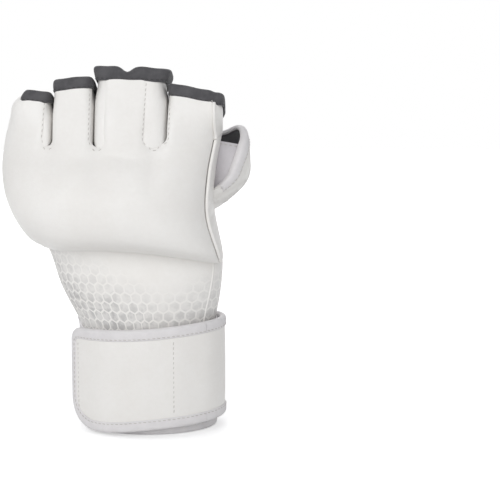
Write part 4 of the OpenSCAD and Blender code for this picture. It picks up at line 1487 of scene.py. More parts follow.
    def _cut(self, skin: bpy.types.Object, wardrobe: Wardrobe) -> None:
        """Cuts the skin into its covers, which keep the shading of the whole."""
        mesh = skin.data
        co = np.empty(len(mesh.vertices) * 3)
        mesh.vertices.foreach_get("co", co)
        co = co.reshape(-1, 3)
        normals = np.empty(len(mesh.vertices) * 3)
        mesh.vertex_normals.foreach_get("vector", normals)
        normals = normals.reshape(-1, 3)
        part = np.empty(len(mesh.polygons), int)
        mesh.polygons.foreach_get("material_index", part)
        polys = [tuple(p.vertices) for p in mesh.polygons]
        names = [("knuckle_pad_cover", ROOT, ("knuckle_cover", "knuckle_foam"))]
        names += [(f"{f.label}_finger_cover", BEND[f], (f"{f.label}_pad_cover", f"{f.label}_foam")) for f in Finger]
        for k, (name, carrier, nodes) in enumerate(names):
            own = [polys[i] for i in np.flatnonzero(part == k)]
            used = sorted({i for p in own for i in p})
            index = {v: i for i, v in enumerate(used)}
            obj = make_object(name, co[used] / MM, [tuple(index[i] for i in p) for p in own])
            obj.data.normals_split_custom_set_from_vertices(normals[used].tolist())
            wardrobe.dress(obj, "leather")
            hand_over(obj, carrier, Slots.LEATHER, *nodes)
        bpy.data.objects.remove(skin)
        bpy.data.meshes.remove(mesh)

    def _sew(self, seams: Seams) -> None:
        """Stitches along the edges of the slits."""
        for finger in Finger:
            body = self.rims[finger]
            if finger is not Finger.INDEX:
                path = np.array([row[np.argmin(np.abs(row[:, 0] - (row[-1, 0] - 1.0)))] for row in body[2:-2]])
                seams.sew(path, np.tile((0.55, -0.83, 0.0), (len(path), 1)), BEND[finger], f"{finger.label}_pad")
        path = np.array([row[np.argmin(np.abs(row[:, 0] - (row[0, 0] + 1.0)))] for row in self.rims[Finger.INDEX][2:-2]])
        seams.sew(path, np.tile((-0.55, -0.83, 0.0), (len(path), 1)), BEND[Finger.INDEX], "index_pad")
        foot = np.radians(np.linspace(200, 340, 12))
        for slit in FORM.slits:
            x = slit.foot + 3.2 * np.cos(foot)
            h = 1.6 + 3.4 * np.sin(foot)
            share = FORM.pad_share(x)
            v = 1 + h / 66
            px, py = FORM.pad_xy(share, v)
            py = py + self.roll(px, h, np.full(px.shape, FORM.slit_depth + 0.9), [(slit, -1), (slit, 1)]) + self.dimple(px, h)
            path = stack(px, py, FORM.pad_z(px, py, v))
            seams.sew(path, np.tile((0.0, -0.95, 0.3), (len(path), 1)), ROOT, "knuckle_pad")


class FingerStalls:
    """The four open stalls: white wall, black lining and dark rim tape."""

    around = 96

    def wave(self, finger: Finger, points: Array, d: float) -> Array:
        """Lets a rim's tape rise and fall a little, as sewn tape does."""
        x, y = points[:, 0], points[:, 1]
        back = ease((-12 - y) / 12) * float(ease((4.0 - d) / 4.0))
        rise = 0.16 * np.sin(x * 0.45 + finger.value) + 0.14 * np.sin(y * 0.5 + 2 * finger.value)
        if finger is Finger.MIDDLE:
            rise = rise - back * (3.2 * np.exp(-(((x + 10) / 3.4) ** 2)) + 0.6 * ease((x + 2) / 14))
        palm = ease((y - 2) / 8)
        out = points.copy()
        if finger is Finger.INDEX:
            notch = ease((-12 - y) / 8) * np.exp(-(((x - 41) / 1.5) ** 2))
            out[:, 1] += 1.1 * notch
            rise = rise - 0.7 * notch
        out[:, 2] += rise - 0.4 * palm * np.sin(x * 0.2 + 1.3 * finger.value) ** 2
        return out

    def build(self, wardrobe: Wardrobe, seams: Seams) -> None:
        """Builds the four stalls.

        Args:
            wardrobe: The finishes.
            seams: The rows of stitches.
        """
        for finger in Finger:
            name, carrier = finger.label, BEND[finger]
            box = FORM.stall_box(finger, np.array(1.0))
            phi = even_turns(FORM.stall_n, (box[1] - box[0]) / 2, (box[3] - box[2]) / 2, self.around)
            top = 1 - 3.4 / float(FORM.back_height(finger, np.array(FORM.stall_mid(finger))))
            t = np.concatenate([[-0.03], np.linspace(0, top, 15)])
            tuck = np.where(t < 0, -0.8, 0.0)
            wall = FORM.stall(finger, phi[None, :], t[:, None], tuck[:, None], FORM.slit_depth)
            tube = double_wall(f"{name}_stall_wall", wall, 1.2)
            wardrobe.dress(round_off(tube), "leather")
            hand_over(tube, carrier, Slots.LEATHER, f"{name}_stall")
            inner = FORM.stall(finger, phi[None, :], np.linspace(-0.1, top, 15)[:, None], 0.0, FORM.slit_depth)
            sleeve = grid_object(f"{name}_stall_lining", drawn_in(inner, 2.8), closed=True)
            wardrobe.dress(thicken(sleeve, 1.0), "lining")
            hand_over(sleeve, carrier, Slots.LINING, f"{name}_lining")
            self._tape(finger, phi, wardrobe, seams)

    def _tape(self, finger: Finger, phi: Array, wardrobe: Wardrobe, seams: Seams) -> None:
        """Folds the dark tape over a rim and stitches it."""
        rim = FORM.stall(finger, phi, np.ones(phi.shape))
        height = rim[:, 2] - FORM.flex_z(rim[:, 1])

        def place(d: Array, o: Array) -> Array:
            """Points at a distance below the rim and a distance outside the wall."""
            t = np.clip(1 - np.maximum(d, 0) / height, 0.05, 1)
            points = FORM.stall(finger, phi, t, float(o) + 0.15)
            points[:, 2] += max(0.0, -float(d))
            return self.wave(finger, points, float(d))

        width = FORM.tape_widths[finger.value]
        tape = tape_strip(f"{finger.label}_rim_tape", place, FORM.wall, width, closed=True, puff=0.35, inner=5.0)
        wardrobe.dress(tape, "dark")
        hand_over(tape, BEND[finger], Slots.DARK, f"{finger.label}_tape")
        path = place(np.array(width - 1.3), np.array(1.08))
        out = facing(place, width - 1.3)
        loop = np.concatenate([path, path[:1]])
        seams.sew(loop, np.concatenate([out, out[:1]]), BEND[finger], f"{finger.label}_rim", "grey_thread")


class HandShell:
    """Hand panels, gusset, piping, palm opening and the band under the fingers."""

    def panel(self, name: str, phi: Array, low: Array, high: Array, rows: int, off: float = 0.0) -> bpy.types.Object:
        """Sheet on the hand's surface, with its flat place as the distance round at the lip and the height.

        Args:
            name: Name of the piece.
            phi: Angles of its columns.
            low: Height of the lower end of each column.
            high: Height of the upper end of each column.
            rows: Number of rows.
            off: Distance outside the hand's leather.

        Returns:
            The sheet.
        """
        s = np.linspace(0, 1, rows)[:, None]
        z = mix(low[None, :], high[None, :], s)
        points = FORM.hand(phi[None, :], z, off)
        uv = np.stack([np.broadcast_to(FORM.flat_u(phi), z.shape), z], axis=-1)
        return grid_object(name, points, uv=uv)

    def build(self, wardrobe: Wardrobe, seams: Seams) -> None:
        """Builds the shell.

        Args:
            wardrobe: The finishes.
            seams: The rows of stitches.
        """
        self._back(wardrobe)
        self._side(wardrobe, seams)
        self._palm(wardrobe, seams)
        self._finger_band(wardrobe, seams)

    def _back(self, wardrobe: Wardrobe) -> None:
        """Back of the hand and its lining."""
        phi = np.linspace(179.5, 360.5, 80)
        top = FORM.flex_z(FORM.hand(phi, 172.0)[:, 1]) - 0.3
        low = np.full(phi.shape, FORM.cuff_h - 9)
        back = self.panel("hand_back_panel", phi, low, top, 46)
        wardrobe.dress(thicken(back, FORM.leather), "print")
        hand_over(back, ROOT, Slots.LEATHER, "back_panel")
        inner = self.panel("hand_back_lining", phi[2:-2:2], low[2:-2:2] + 6, top[2:-2:2], 24, -1.9)
        wardrobe.dress(thicken(inner, 0.9), "lining")
        hand_over(inner, ROOT, Slots.LINING, "back_lining")

    def _side(self, wardrobe: Wardrobe, seams: Seams) -> None:
        """Gusset between the pad and the thumb, and the piped seam."""
        phi = np.concatenate([np.linspace(335.5, 361, 16)])
        v = np.concatenate([[0.02, 0.03, 0.05], np.linspace(0.08, 1.0, 30)])
        rows = FORM.pad(phi[None, :], v[:, None])
        across = ease((phi[None, :] - 338) / 23)
        full = mix(1.0, ease((v[:, None] + 0.04) / 0.42), across)[..., None]
        rows = mix(FORM.hand(phi[None, :], rows[..., 2], 0.4), rows, full)
        crease = np.exp(-(((phi[None, :] - 346) / 9) ** 2))
        for level, size in ((0.24, 0.7), (0.34, 0.9), (0.45, 0.6)):
            rows[..., 0] -= size * crease * np.exp(-(((v[:, None] - level - 0.004 * (phi[None, :] - 340)) / 0.022) ** 2))
        last = rows[:, -1:, :]
        tuck = np.concatenate([last + (-0.6, 1.8, 0.4), last + (-2.2, 3.0, 0.7), last + (-4.2, 3.4, 0.8)], axis=1)
        rows = np.concatenate([rows, tuck], axis=1)
        foot = rows[:1].copy()
        inner = FORM.hand(np.concatenate([phi, np.full(3, 362.0)]), foot[0, :, 2] + 2)
        rows = np.concatenate([mix(foot, inner[None], 1.05) + (0, 0, 1.5), mix(foot, inner[None], 0.5), rows])
        gusset = grid_object("index_side_gusset", rows)
        wardrobe.dress(round_off(gusset), "leather")
        hand_over(gusset, ROOT, Slots.LEATHER, "index_gusset")
        line = FORM.pad(np.full(60, 335.8), np.linspace(0.0, 1.0, 60), 0.5)
        self._pipe("side_seam_piping", line, ROOT, wardrobe, "side_piping")
        pad = KnucklePad()
        rise = [pad.finger_row(Finger.INDEX, 0, h)[-1] for h in (0.0, 1.0, 2.4, 4.3, 7.0)]
        rise += [pad.finger_row(Finger.INDEX, 1, s)[-1] for s in np.linspace(0, 0.9, 14)[1:]]
        up = line[-1] + 0 * np.array(rise)
        line = np.array(rise) + (0.5, -0.4, 0.0)
        line += (up - line[0]) * (1 - ease(np.arange(len(line)) / 6))[:, None]
        self._pipe("index_seam_piping", line, BEND[Finger.INDEX], wardrobe)
        level = np.linspace(60, 106, 40)
        line = FORM.hand(mix(327.0, 332.0, ease((level - 66) / 36)), level, -0.5)
        self._pipe("wrist_seam_piping", line, ROOT, wardrobe, radius=0.9)
        path = FORM.pad(np.full(50, 339.0), np.linspace(0.08, 0.98, 50), 0.1)
        seams.sew(path, np.tile((0.9, -0.4, 0.0), (50, 1)), ROOT, "side_seam")

    @staticmethod
    def _pipe(name: str, line: Array, carrier: Carrier, wardrobe: Wardrobe, *nodes: str, radius: float = 1.15) -> None:
        """Round cord in a seam."""
        run = unit(np.gradient(line, axis=0))
        side = unit(np.cross(run, np.array((0.0, 1.0, 0.0))))
        up = np.cross(side, run)
        turn = np.linspace(0, 2 * np.pi, 10, endpoint=False)
        rows = np.stack([line + radius * (np.cos(a) * side + np.sin(a) * up) for a in turn], axis=1)
        n, m = rows.shape[:2]
        faces = grid_faces(n, m, closed=True)
        faces += [tuple(range(m))[::-1], tuple((n - 1) * m + k for k in range(m))]
        obj = make_object(name, rows, faces)
        wardrobe.dress(round_off(obj), "leather")
        hand_over(obj, carrier, Slots.LEATHER, *nodes)

    def _palm(self, wardrobe: Wardrobe, seams: Seams) -> None:
        """Lower palm with its open upper edge, and the strip beside the little finger."""
        phi = np.concatenate([np.linspace(-0.5, 90, 44), np.linspace(90, 108, 22)[1:], np.linspace(108, 180.5, 44)[1:]])
        low = np.full(phi.shape, FORM.cuff_h - 3)
        palm = self.panel("lower_palm_panel", phi, low, FORM.palm_top(phi), 34)
        wardrobe.dress(thicken(palm, FORM.leather, 1, 0), "palm_print", "lining")
        hand_over(palm, ROOT, Slots.LEATHER, "palm_panel")
        edge = np.concatenate([np.linspace(90.5, 108, 26), np.linspace(108, 180, 36)[1:]])
        place = edge_place(FORM.hand, edge, FORM.palm_top(edge))
        self._tape("palm_opening_edge", place, FORM.leather, ROOT, wardrobe, seams, "palm_opening_tape")
        phi = np.linspace(160, 180.5, 12)
        strip = self.panel("little_side_strip", phi, np.full(phi.shape, 118.0), np.full(phi.shape, 164.0), 18, -0.1)
        wardrobe.dress(thicken(strip, FORM.leather - 0.2, 1, 0), "leather", "lining")
        hand_over(strip, ROOT, Slots.LEATHER, "ulnar_strip")
        z = np.linspace(118, 163, 30)
        place = edge_place(FORM.hand, np.full(30, 160.0), z)
        self._tape("little_side_edge", place, FORM.leather, ROOT, wardrobe, seams, "ulnar_tape", 4.6)

    @staticmethod
    def _tape(name: str, place: Place, wall: float, carrier: Carrier, wardrobe: Wardrobe, seams: Seams, node: str,
              width: float = 6.0, inner: float | None = None) -> None:
        """Pale tape over an edge, with its row of stitches."""
        tape = tape_strip(name, place, wall, width, inner=inner)
        wardrobe.dress(tape, "pale")
        hand_over(tape, carrier, Slots.PALE, node)
        d = width - 1.1
        seams.sew(place(np.array(d), np.array(1.06)), facing(place, d), carrier, name)

    def _finger_band(self, wardrobe: Wardrobe, seams: Seams) -> None:
        """Band under the fingers on the palm side, with its three vents and its hem."""
        phi = np.linspace(-0.5, 180.5, 90)
        top = FORM.flex_z(FORM.hand(phi, 186.0)[:, 1]) + 0.4
        band = self.panel("finger_palm_band", phi, np.full(phi.shape, FORM.hem_z), top, 20)
        wardrobe.dress(thicken(band, FORM.leather, 1, 0), "leather", "lining")
        for x, z in ((-66.0, 179.0), (-33.0, 181.0), (0.0, 180.0)):
            self._vent(band, x, z, seams)
        settle(band)
        hand_over(band, ROOT, Slots.LEATHER, "finger_palm_panel")
        edge = np.linspace(180, 27, 70)
        place = edge_place(FORM.hand, edge, np.full(70, FORM.hem_z))
        self._tape("palm_hem_edge", place, FORM.leather, ROOT, wardrobe, seams, "palm_hem_tape")

    @staticmethod
    def _vent(band: bpy.types.Object, x: float, z: float, seams: Seams) -> None:
        """Cuts one lens-shaped vent and stitches round it."""
        a = np.linspace(-1, 1, 13)
        upper = np.stack([x + 5.5 * a, z + 1.6 * (1 - a**2)], axis=-1)
        lower = np.stack([x + 5.5 * a[::-1], z - 1.6 * (1 - a[::-1] ** 2)], axis=-1)[1:-1]
        ring = np.concatenate([upper, lower])
        n = len(ring)
        points = np.concatenate([np.insert(ring, 1, 2.0, axis=1), np.insert(ring, 1, 30.0, axis=1)])
        faces = [(k, (k + 1) % n, n + (k + 1) % n, n + k) for k in range(n)]
        faces += [tuple(range(n))[::-1], tuple(range(n, 2 * n))]
        cutter = make_object("vent_cutter", points, faces)
        mod = band.modifiers.new("vent", "BOOLEAN")
        mod.operation = "DIFFERENCE"
        mod.solver = "EXACT"
        mod.object = cutter
        settle(band)
        bpy.data.objects.remove(cutter)
        turn = np.radians(np.linspace(0, 360, 40))
        px, pz = x + 8.3 * np.cos(turn), z + 3.9 * np.sin(turn)
        box, square = FORM.hand_box(pz), curve(pz, FORM.hand_square)
        share = np.clip((px - (box[:, 0] + box[:, 1]) / 2) / ((box[:, 1] - box[:, 0]) / 2), -1, 1)
        phi = np.degrees(np.arccos(np.sign(share) * np.abs(share) ** (square / 2)))
        path = FORM.hand(phi, pz, 0.05)
        seams.sew(path, unit(FORM.hand(phi, pz, 2.0) - path), ROOT, "vents")


class ThumbGuard:
    """Open thumb loop with its two pads, its lining, its edge tape and the short panel behind it."""

    near_edge = (
        (146, -60), (150, -52), (156, -45.5), (161, -42.8), (164.5, -40), (168, -36), (171, -31.5), (174, -26), (177, -17.5),
        (179.5, -9), (182.5, 0),
    )

    def build(self, wardrobe: Wardrobe, seams: Seams) -> None:
        """Builds the thumb.

        Args:
            wardrobe: The finishes.
            seams: The rows of stitches.
        """
        phi = np.concatenate([np.linspace(0, 100, 48), np.linspace(100, 161, 40)[1:]])
        top = FORM.arch_z(phi)
        reach = ease((52 - phi) / 52)
        inward = 1 - ease((phi - 90) / 40)
        rows = []
        for z, off in ((131.5, -9.5), (133.4, -6.0), (135.2, -2.6), (136.4, -0.8)):
            rows.append(self.skin(phi - 60 * reach, np.full(phi.shape, z), mix(-1.0, off, inward)))
        for k in np.linspace(0.02, 1, 22):
            z = mix(FORM.crease_z, top - 0.8, k)
            turn = mix(phi, self.left_turn(z) + 1.2, reach)
            fold = 0.7 * np.sin((z - 0.35 * turn) * 0.9) * ease((20 - turn) / 40) * ease((160 - z) / 12)
            rows.append(self.skin(turn, z, fold))
        panel = grid_object("thumb_loop_panel", np.stack(rows))
        wardrobe.dress(thicken(panel, FORM.leather, 1, 0), "leather", "lining")
        hand_over(panel, THUMB_BEND, Slots.LEATHER, "thumb_panel")
        some = phi[(phi < 150)][::2]
        inner = [self.skin(some, mix(FORM.crease_z + 1, FORM.arch_z(some), k), -1.9) for k in np.linspace(0, 1, 14)]
        lining = grid_object("thumb_loop_lining", np.stack(inner))
        wardrobe.dress(thicken(lining, 0.9), "dark")
        hand_over(lining, THUMB_BEND, Slots.LINING, "thumb_lining")
        climb = np.linspace(149, 182, 18)
        turn = np.concatenate([self.left_turn(climb), phi, [162.0, 163.0]])
        place = edge_place(self.skin, turn, np.concatenate([climb, top, [135.8, 134.6]]))
        HandShell._tape("thumb_loop_edge", place, FORM.leather + 1.3, THUMB_BEND, wardrobe, seams, "thumb_tape",
                        inner=2.2)
        self._pads(wardrobe, seams)
        self._web(wardrobe, seams)

    @staticmethod
    def left_turn(z: Array) -> Array:
        """Angle of the loop's edge on the side of the index finger, which slants in lower down."""
        return curve(z, ThumbGuard.near_edge)

    @staticmethod
    def skin(phi: Array, z: Array, off: Array | float = 0.0) -> Array:
        """Outer surface of the loop, which runs into the palm beside the opening."""
        points = FORM.thumb(phi, z, off)
        turned = np.asarray(phi)
        join = ease((152 - points[..., 2]) / 15) * ease((turned - 85) / 45)
        points[..., 0] -= 5.0 * ease((154 - points[..., 2]) / 17) * ease((turned - 100) / 55)
        points[..., 1] = mix(points[..., 1], FORM.palm_y(points[..., 0], points[..., 2]) + off + 0.3, join)
        return points

    @staticmethod
    def cushion(u: Array, v: Array) -> Array:
        """Fullness of a pad: full in the middle and thin at its seams."""
        a = np.clip(1 - np.abs(2 * u - 1) ** 2.6, 0, 1) ** 0.62
        b = np.clip(1 - np.abs(2 * v - 1) ** 2.6, 0, 1) ** 0.62
        return a * b

    def _pad(self, name: str, surface: Callable[..., Array], left: tuple, right: tuple, low: Callable, high: Callable,
             carrier: Carrier, nodes: tuple, wardrobe: Wardrobe, seams: Seams, crown: float, key: str) -> None:
        """One padded piece over a panel, with its seam stitched all round."""
        bend = 0.5 - 0.5 * np.cos(np.linspace(0, np.pi, 36))
        u, v = np.meshgrid(bend, bend)
        phi = mix(mix(right[0], right[1], v), mix(left[0], left[1], v), u)
        z = mix(low(phi), high(phi), v)
        points = surface(phi, z, 1.5 + self.cushion(u, v) * (crown + 0.2 * np.sin(phi * 0.35 + z * 0.2)))
        sunk = surface(phi, z, 0.2)
        edge = np.zeros(points.shape[:2], bool)
        edge[0, :] = edge[-1, :] = edge[:, 0] = edge[:, -1] = True
        points[edge] = sunk[edge]
        obj = grid_object(name, points, uv=np.stack([FORM.flat_u(phi), z], axis=-1))
        wardrobe.dress(round_off(obj), key)
        hand_over(obj, carrier, Slots.LEATHER, *nodes)
        ring = np.concatenate([points[1, 1:-1], points[1:-1, -2], points[-2, -2:0:-1], points[-2:0:-1, 1]])
        base = np.concatenate([sunk[1, 1:-1], sunk[1:-1, -2], sunk[-2, -2:0:-1], sunk[-2:0:-1, 1]])
        seams.sew(ring, unit(ring - base), carrier, name)

    def _pads(self, wardrobe: Wardrobe, seams: Seams) -> None:
        """Pad on the face of the thumb and the wedge on its heel."""
        self._pad("thumb_face_pad", FORM.thumb, (128, 108), (12, 30), lambda phi: np.full(np.shape(phi), 137.6),
                  lambda phi: FORM.arch_z(phi) - 6.6, THUMB_BEND, ("thumb_pad_cover", "thumb_pad_foam"), wardrobe, seams, 8.0, "leather")
        self._pad("thumb_heel_pad", FORM.hand, (66, 77), (56, 15), lambda phi: np.full(np.shape(phi), 88.0),
                  lambda phi: np.full(np.shape(phi), 136.4), ROOT, ("thumb_heel_cover", "thumb_heel_foam"), wardrobe, seams, 5.0, "palm_print")

    def _web(self, wardrobe: Wardrobe, seams: Seams) -> None:
        """Short panel that closes the thumb towards the index finger."""
        s = np.linspace(0, 1, 14)[None, :]
        z = mix(146, mix(177.0, 173.4, s), np.linspace(0, 1, 20)[:, None])
        root = FORM.thumb(self.left_turn(z) + 9, z, -2.0)
        x = mix(36.5, root[..., 0], s)
        y = mix(0.0, root[..., 1], s) - 1.2 * np.sin(np.pi * s)
        points = stack(x, y, z)
        web = grid_object("thumb_web_panel", points)
        # Its grey finish partly paints the shade of the recess behind the thumb.
        wardrobe.dress(thicken(round_off(web), FORM.leather), "web")
        hand_over(web, WEB_BEND, Slots.LEATHER, "thumb_back_panel")
        row = points[-2]
        seams.sew(row + (0, -0.1, 0), np.tile((0.2, -0.98, 0.0), (len(row), 1)), WEB_BEND, "thumb_web")


class WristCuff:
    """Cuff, its tapes, the loop sheet and the wrist strap with its free end and plain patch."""

    low_r: float = 19.0
    high_r: float = 8.0
    split: float = 318.0
    stay: float = 375.0

    def build(self, wardrobe: Wardrobe, seams: Seams) -> None:
        """Builds the cuff and the strap.

        Args:
            wardrobe: The finishes.
            seams: The rows of stitches.
        """
        self._cuff(wardrobe, seams)
        self._strap(wardrobe, seams)
        self._fastener(wardrobe)
        self._patch(wardrobe, seams)

    def ring(self, phi: Array, z: Array, off: Array | float = 0.0) -> Array:
        """Outer surface of the cuff."""
        phi, z = np.broadcast_arrays(np.asarray(phi, float), np.asarray(z, float))
        x, y = outline(np.array(FORM.cuff_box), 2, phi, off)
        return stack(x, y, z)

    def _cuff(self, wardrobe: Wardrobe, seams: Seams) -> None:
        """Cuff wall, rim tape and the tape over the hand's seam."""
        phi = np.linspace(0, 360, 120, endpoint=False)
        rows = np.stack([self.ring(phi, np.full(phi.shape, z)) for z in np.linspace(1.2, FORM.cuff_h - 8, 20)])
        cuff = grid_object("wrist_cuff", rows, closed=True)
        wardrobe.dress(thicken(cuff, FORM.cuff_t, 1, 0), "leather", "lining")
        hand_over(cuff, ROOT, Slots.LEATHER, "cuff")

        def rim(d: Array, o: Array) -> Array:
            """Points above the rim's lower edge."""
            return self.ring(phi, np.full(phi.shape, 1.0 + float(d)), float(o))

        tape = tape_strip("cuff_rim_edge", lambda d, o: rim(d, o)[::-1], FORM.cuff_t, 5.0, closed=True, puff=0.1)
        wardrobe.dress(tape, "pale")
        hand_over(tape, ROOT, Slots.PALE, "cuff_rim_tape")
        path = rim(np.array(4.0), np.array(1.0))
        seams.sew(path, unit(path * (1, 1, 0)), ROOT, "cuff_rim")
        profile = ((62.0, 0.2), (62.3, 1.0), (64.0, 1.2), (66.0, 1.2), (67.7, 1.0), (68.0, 0.2))
        rows = np.stack([self._seam_row(phi, z, off) for z, off in profile])
        band = make_object("cuff_seam_band", rows, grid_faces(len(profile), 120, closed=True))
        layer = band.data.uv_layers.new(name="sheet")
        co = np.array([band.data.vertices[i].co for i in [lp.vertex_index for lp in band.data.loops]])
        layer.data.foreach_set("uv", np.stack([np.arctan2(co[:, 1], co[:, 0]) * 0.035, co[:, 2]], axis=-1).ravel())
        wardrobe.dress(round_off(band), "pale")
        hand_over(band, ROOT, Slots.PALE, "cuff_seam_tape")

    @staticmethod
    def _seam_row(phi: Array, z: float, off: float) -> Array:
        """Ring of points on the seam between the cuff and the hand."""
        level = z - 8.0 * ease(-1.6 * np.sin(np.radians(phi)))
        return FORM.hand(phi, level, off)

    def low(self, phi: Array) -> Array:
        """Lower edge of the strap, rounded at its free end."""
        return -FORM.strap_w / 2 + self._corner(self.low_r, phi) - 1.3 * np.exp(-(((phi - 240) / 24) ** 2))

    def high(self, phi: Array) -> Array:
        """Upper edge of the strap, rounded at its free end."""
        return FORM.strap_w / 2 - self._corner(self.high_r, phi) - 0.6 * self._waist(phi)

    @staticmethod
    def _waist(phi: Array) -> Array:
        """How far the strap is drawn in over the back of the wrist."""
        return np.exp(-(((phi - 262) / 36) ** 2))

    @staticmethod
    def _corner(r: float, phi: Array) -> Array:
        """How far a rounded corner cuts in."""
        s = np.clip((phi - FORM.strap_end) * 0.59, 0, r)
        return r - np.sqrt(np.maximum(r**2 - (r - s) ** 2, 0))

    def band(self, name: str, phi: Array, carrier: Carrier, wardrobe: Wardrobe, node: str) -> bpy.types.Object:
        """One stretch of the strap, puffed a little between its edge tapes."""
        s = np.linspace(0, 1, 26)[:, None]
        h = mix(self.low(phi)[None, :], self.high(phi)[None, :], s)
        puff = 0.5 * np.clip(1 - np.abs(2 * s - 1) ** 4, 0, 1) + 0.18 * np.sin(phi[None, :] * 0.22) * np.sin(np.pi * s)
        points = FORM.strap(phi[None, :], h, FORM.strap_t + puff)
        obj = grid_object(name, points)
        wardrobe.dress(thicken(obj, FORM.strap_t), "leather")
        return hand_over(obj, carrier, Slots.LEATHER, node)

    def _strap(self, wardrobe: Wardrobe, seams: Seams) -> None:
        """The strap in three stretches: fixed, hinged and free end."""
        fixed = np.linspace(self.stay, FORM.strap_start, 90)
        hinged = np.linspace(self.split, self.stay, 40)
        near = FORM.strap_end + np.array([0.02, 0.4, 1.2, 2.5, 4.5, 7, 10, 14, 18, 23])
        free = np.concatenate([near, np.linspace(near[-1], self.split, 50)[1:]])
        stretches = (
            ("strap_fixed", fixed, ROOT, "strap_base", "strap_base_tape"),
            ("strap_hinged", hinged, WRAP_BEND, "strap_wrap", "strap_wrap_tape"),
            ("strap_free", free, TAB_BEND, "strap_tab", "strap_tab_tape"),
        )

        def shifted(phi: Array, h: Array, off: Array | float = 0.0) -> Array:
            """Outer face of the strap."""
            return FORM.strap(phi, h, FORM.strap_t + off)

        for name, phi, carrier, node, tape_node in stretches:
            self.band(name, phi, carrier, wardrobe, node)
            if name == "strap_free":
                edge = np.concatenate([phi[::-1], [FORM.strap_end - 0.02], phi])
                level = np.concatenate([self.low(phi)[::-1], [-4.0], self.high(phi)])
                self._edge(name + "_edge", edge_place(shifted, edge, level), carrier, wardrobe, seams, tape_node)
            else:
                for side, order in (("upper", 1), ("lower", -1)):
                    level = (self.high(phi) if order > 0 else self.low(phi))[::order]
                    place = edge_place(shifted, phi[::order], level)
                    nodes = (tape_node,) if side == "upper" else ()
                    self._edge(f"{name}_{side}_edge", place, carrier, wardrobe, seams, *nodes)
        h = np.linspace(-22, 22, 40)
        for place_phi in (290.0, 206.5):
            path = shifted(np.full(40, place_phi), h, 0.55)
            seams.sew(path, unit(path * (1, 1, 0)), TAB_BEND, "strap_free")

    @staticmethod
    def _edge(name: str, place: Place, carrier: Carrier, wardrobe: Wardrobe, seams: Seams, *nodes: str) -> None:
        """Pale tape along an edge of the strap."""
        tape = tape_strip(name, place, FORM.strap_t, FORM.tape_w, puff=0.3)
        wardrobe.dress(tape, "pale")
        hand_over(tape, carrier, Slots.PALE, *nodes)
        seams.sew(place(np.array(4.8), np.array(1.1)), facing(place, 4.8), carrier, name)

    def _fastener(self, wardrobe: Wardrobe) -> None:
        """Loop sheet on the cuff and hook sheet under the free end."""
        level = np.linspace(-22, 22, 12)[:, None]
        phi = np.linspace(205, 325, 50)[None, :]
        x, y = outline(np.array(FORM.cuff_box), 2, phi + 0 * level, 1.4)
        loop = grid_object("loop_sheet", stack(x, y, FORM.strap_z + FORM.strap_rise * x + level))
        wardrobe.dress(thicken(loop, 1.1), "fastener")
        hand_over(loop, ROOT, Slots.FASTENER, "loop_panel")
        phi = np.linspace(208, 285, 40)[None, :]
        hook = grid_object("hook_sheet", FORM.strap(phi, level, -0.15))
        wardrobe.dress(thicken(hook, 1.1), "fastener")
        hand_over(hook, TAB_BEND, Slots.FASTENER, "hook_panel")

    def _patch(self, wardrobe: Wardrobe, seams: Seams) -> None:
        """Plain sewn patch with a pale border and slanted bars."""
        base = FORM.strap_t + 0.6

        def place(a: Array, b: Array, off: float) -> Array:
            """Point of the patch by shares of its half length and half height."""
            return FORM.strap(463.5 - 41.5 * np.asarray(a), 10 * np.asarray(b), base + off)

        def tile(name: str, corners: Sequence[tuple[float, float]], off: float, key: str) -> bpy.types.Object:
            """Flat four-sided piece of the patch."""
            (a0, b0), (a1, b1), (a2, b2), (a3, b3) = corners
            s, t = np.meshgrid(np.linspace(0, 1, 30), np.linspace(0, 1, 8))
            a = mix(mix(a0, a1, s), mix(a3, a2, s), t)
            b = mix(mix(b0, b1, s), mix(b3, b2, s), t)
            obj = grid_object(name, place(a, b, off)[:, ::-1])
            wardrobe.dress(thicken(obj, 0.7), key)
            return hand_over(obj, ROOT, Slots.PATCH)

        ground = tile("patch_ground", ((-1, -1), (1, -1), (1, 1), (-1, 1)), 0.9, "patch")
        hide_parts("wrist_patch")
        tile("patch_border", ((-0.93, -0.76), (0.95, -0.76), (0.95, 0.76), (-0.93, 0.76)), 1.05, "patch_pale")
        tile("patch_red_block", ((-0.9, -0.64), (-0.74, -0.64), (-0.74, 0.64), (-0.9, 0.64)), 1.2, "patch_red")
        tile("patch_field", ((-0.71, -0.64), (0.92, -0.64), (0.92, 0.64), (-0.71, 0.64)), 1.2, "patch")
        for k, start in enumerate((-0.62, -0.24, 0.14, 0.52)):
            lean, width = 0.1, 0.2
            corners = ((start, -0.45), (start + width, -0.45), (start + width + lean, 0.45), (start + lean, 0.45))
            tile(f"patch_bar_{k + 1}", corners, 1.32, "patch_pale")
        turn = np.concatenate([np.linspace(-1, 1, 30), np.full(6, 1.0), np.linspace(1, -1, 30), np.full(6, -1.0)])
        rise = np.concatenate([np.full(30, -1.0), np.linspace(-1, 1, 6), np.full(30, 1.0), np.linspace(1, -1, 6)])
        path = place(turn * 0.965, rise * 0.88, 0.95)
        seams.sew(path, unit(path * (1, 1, 0)), ROOT, "patch", "thread")


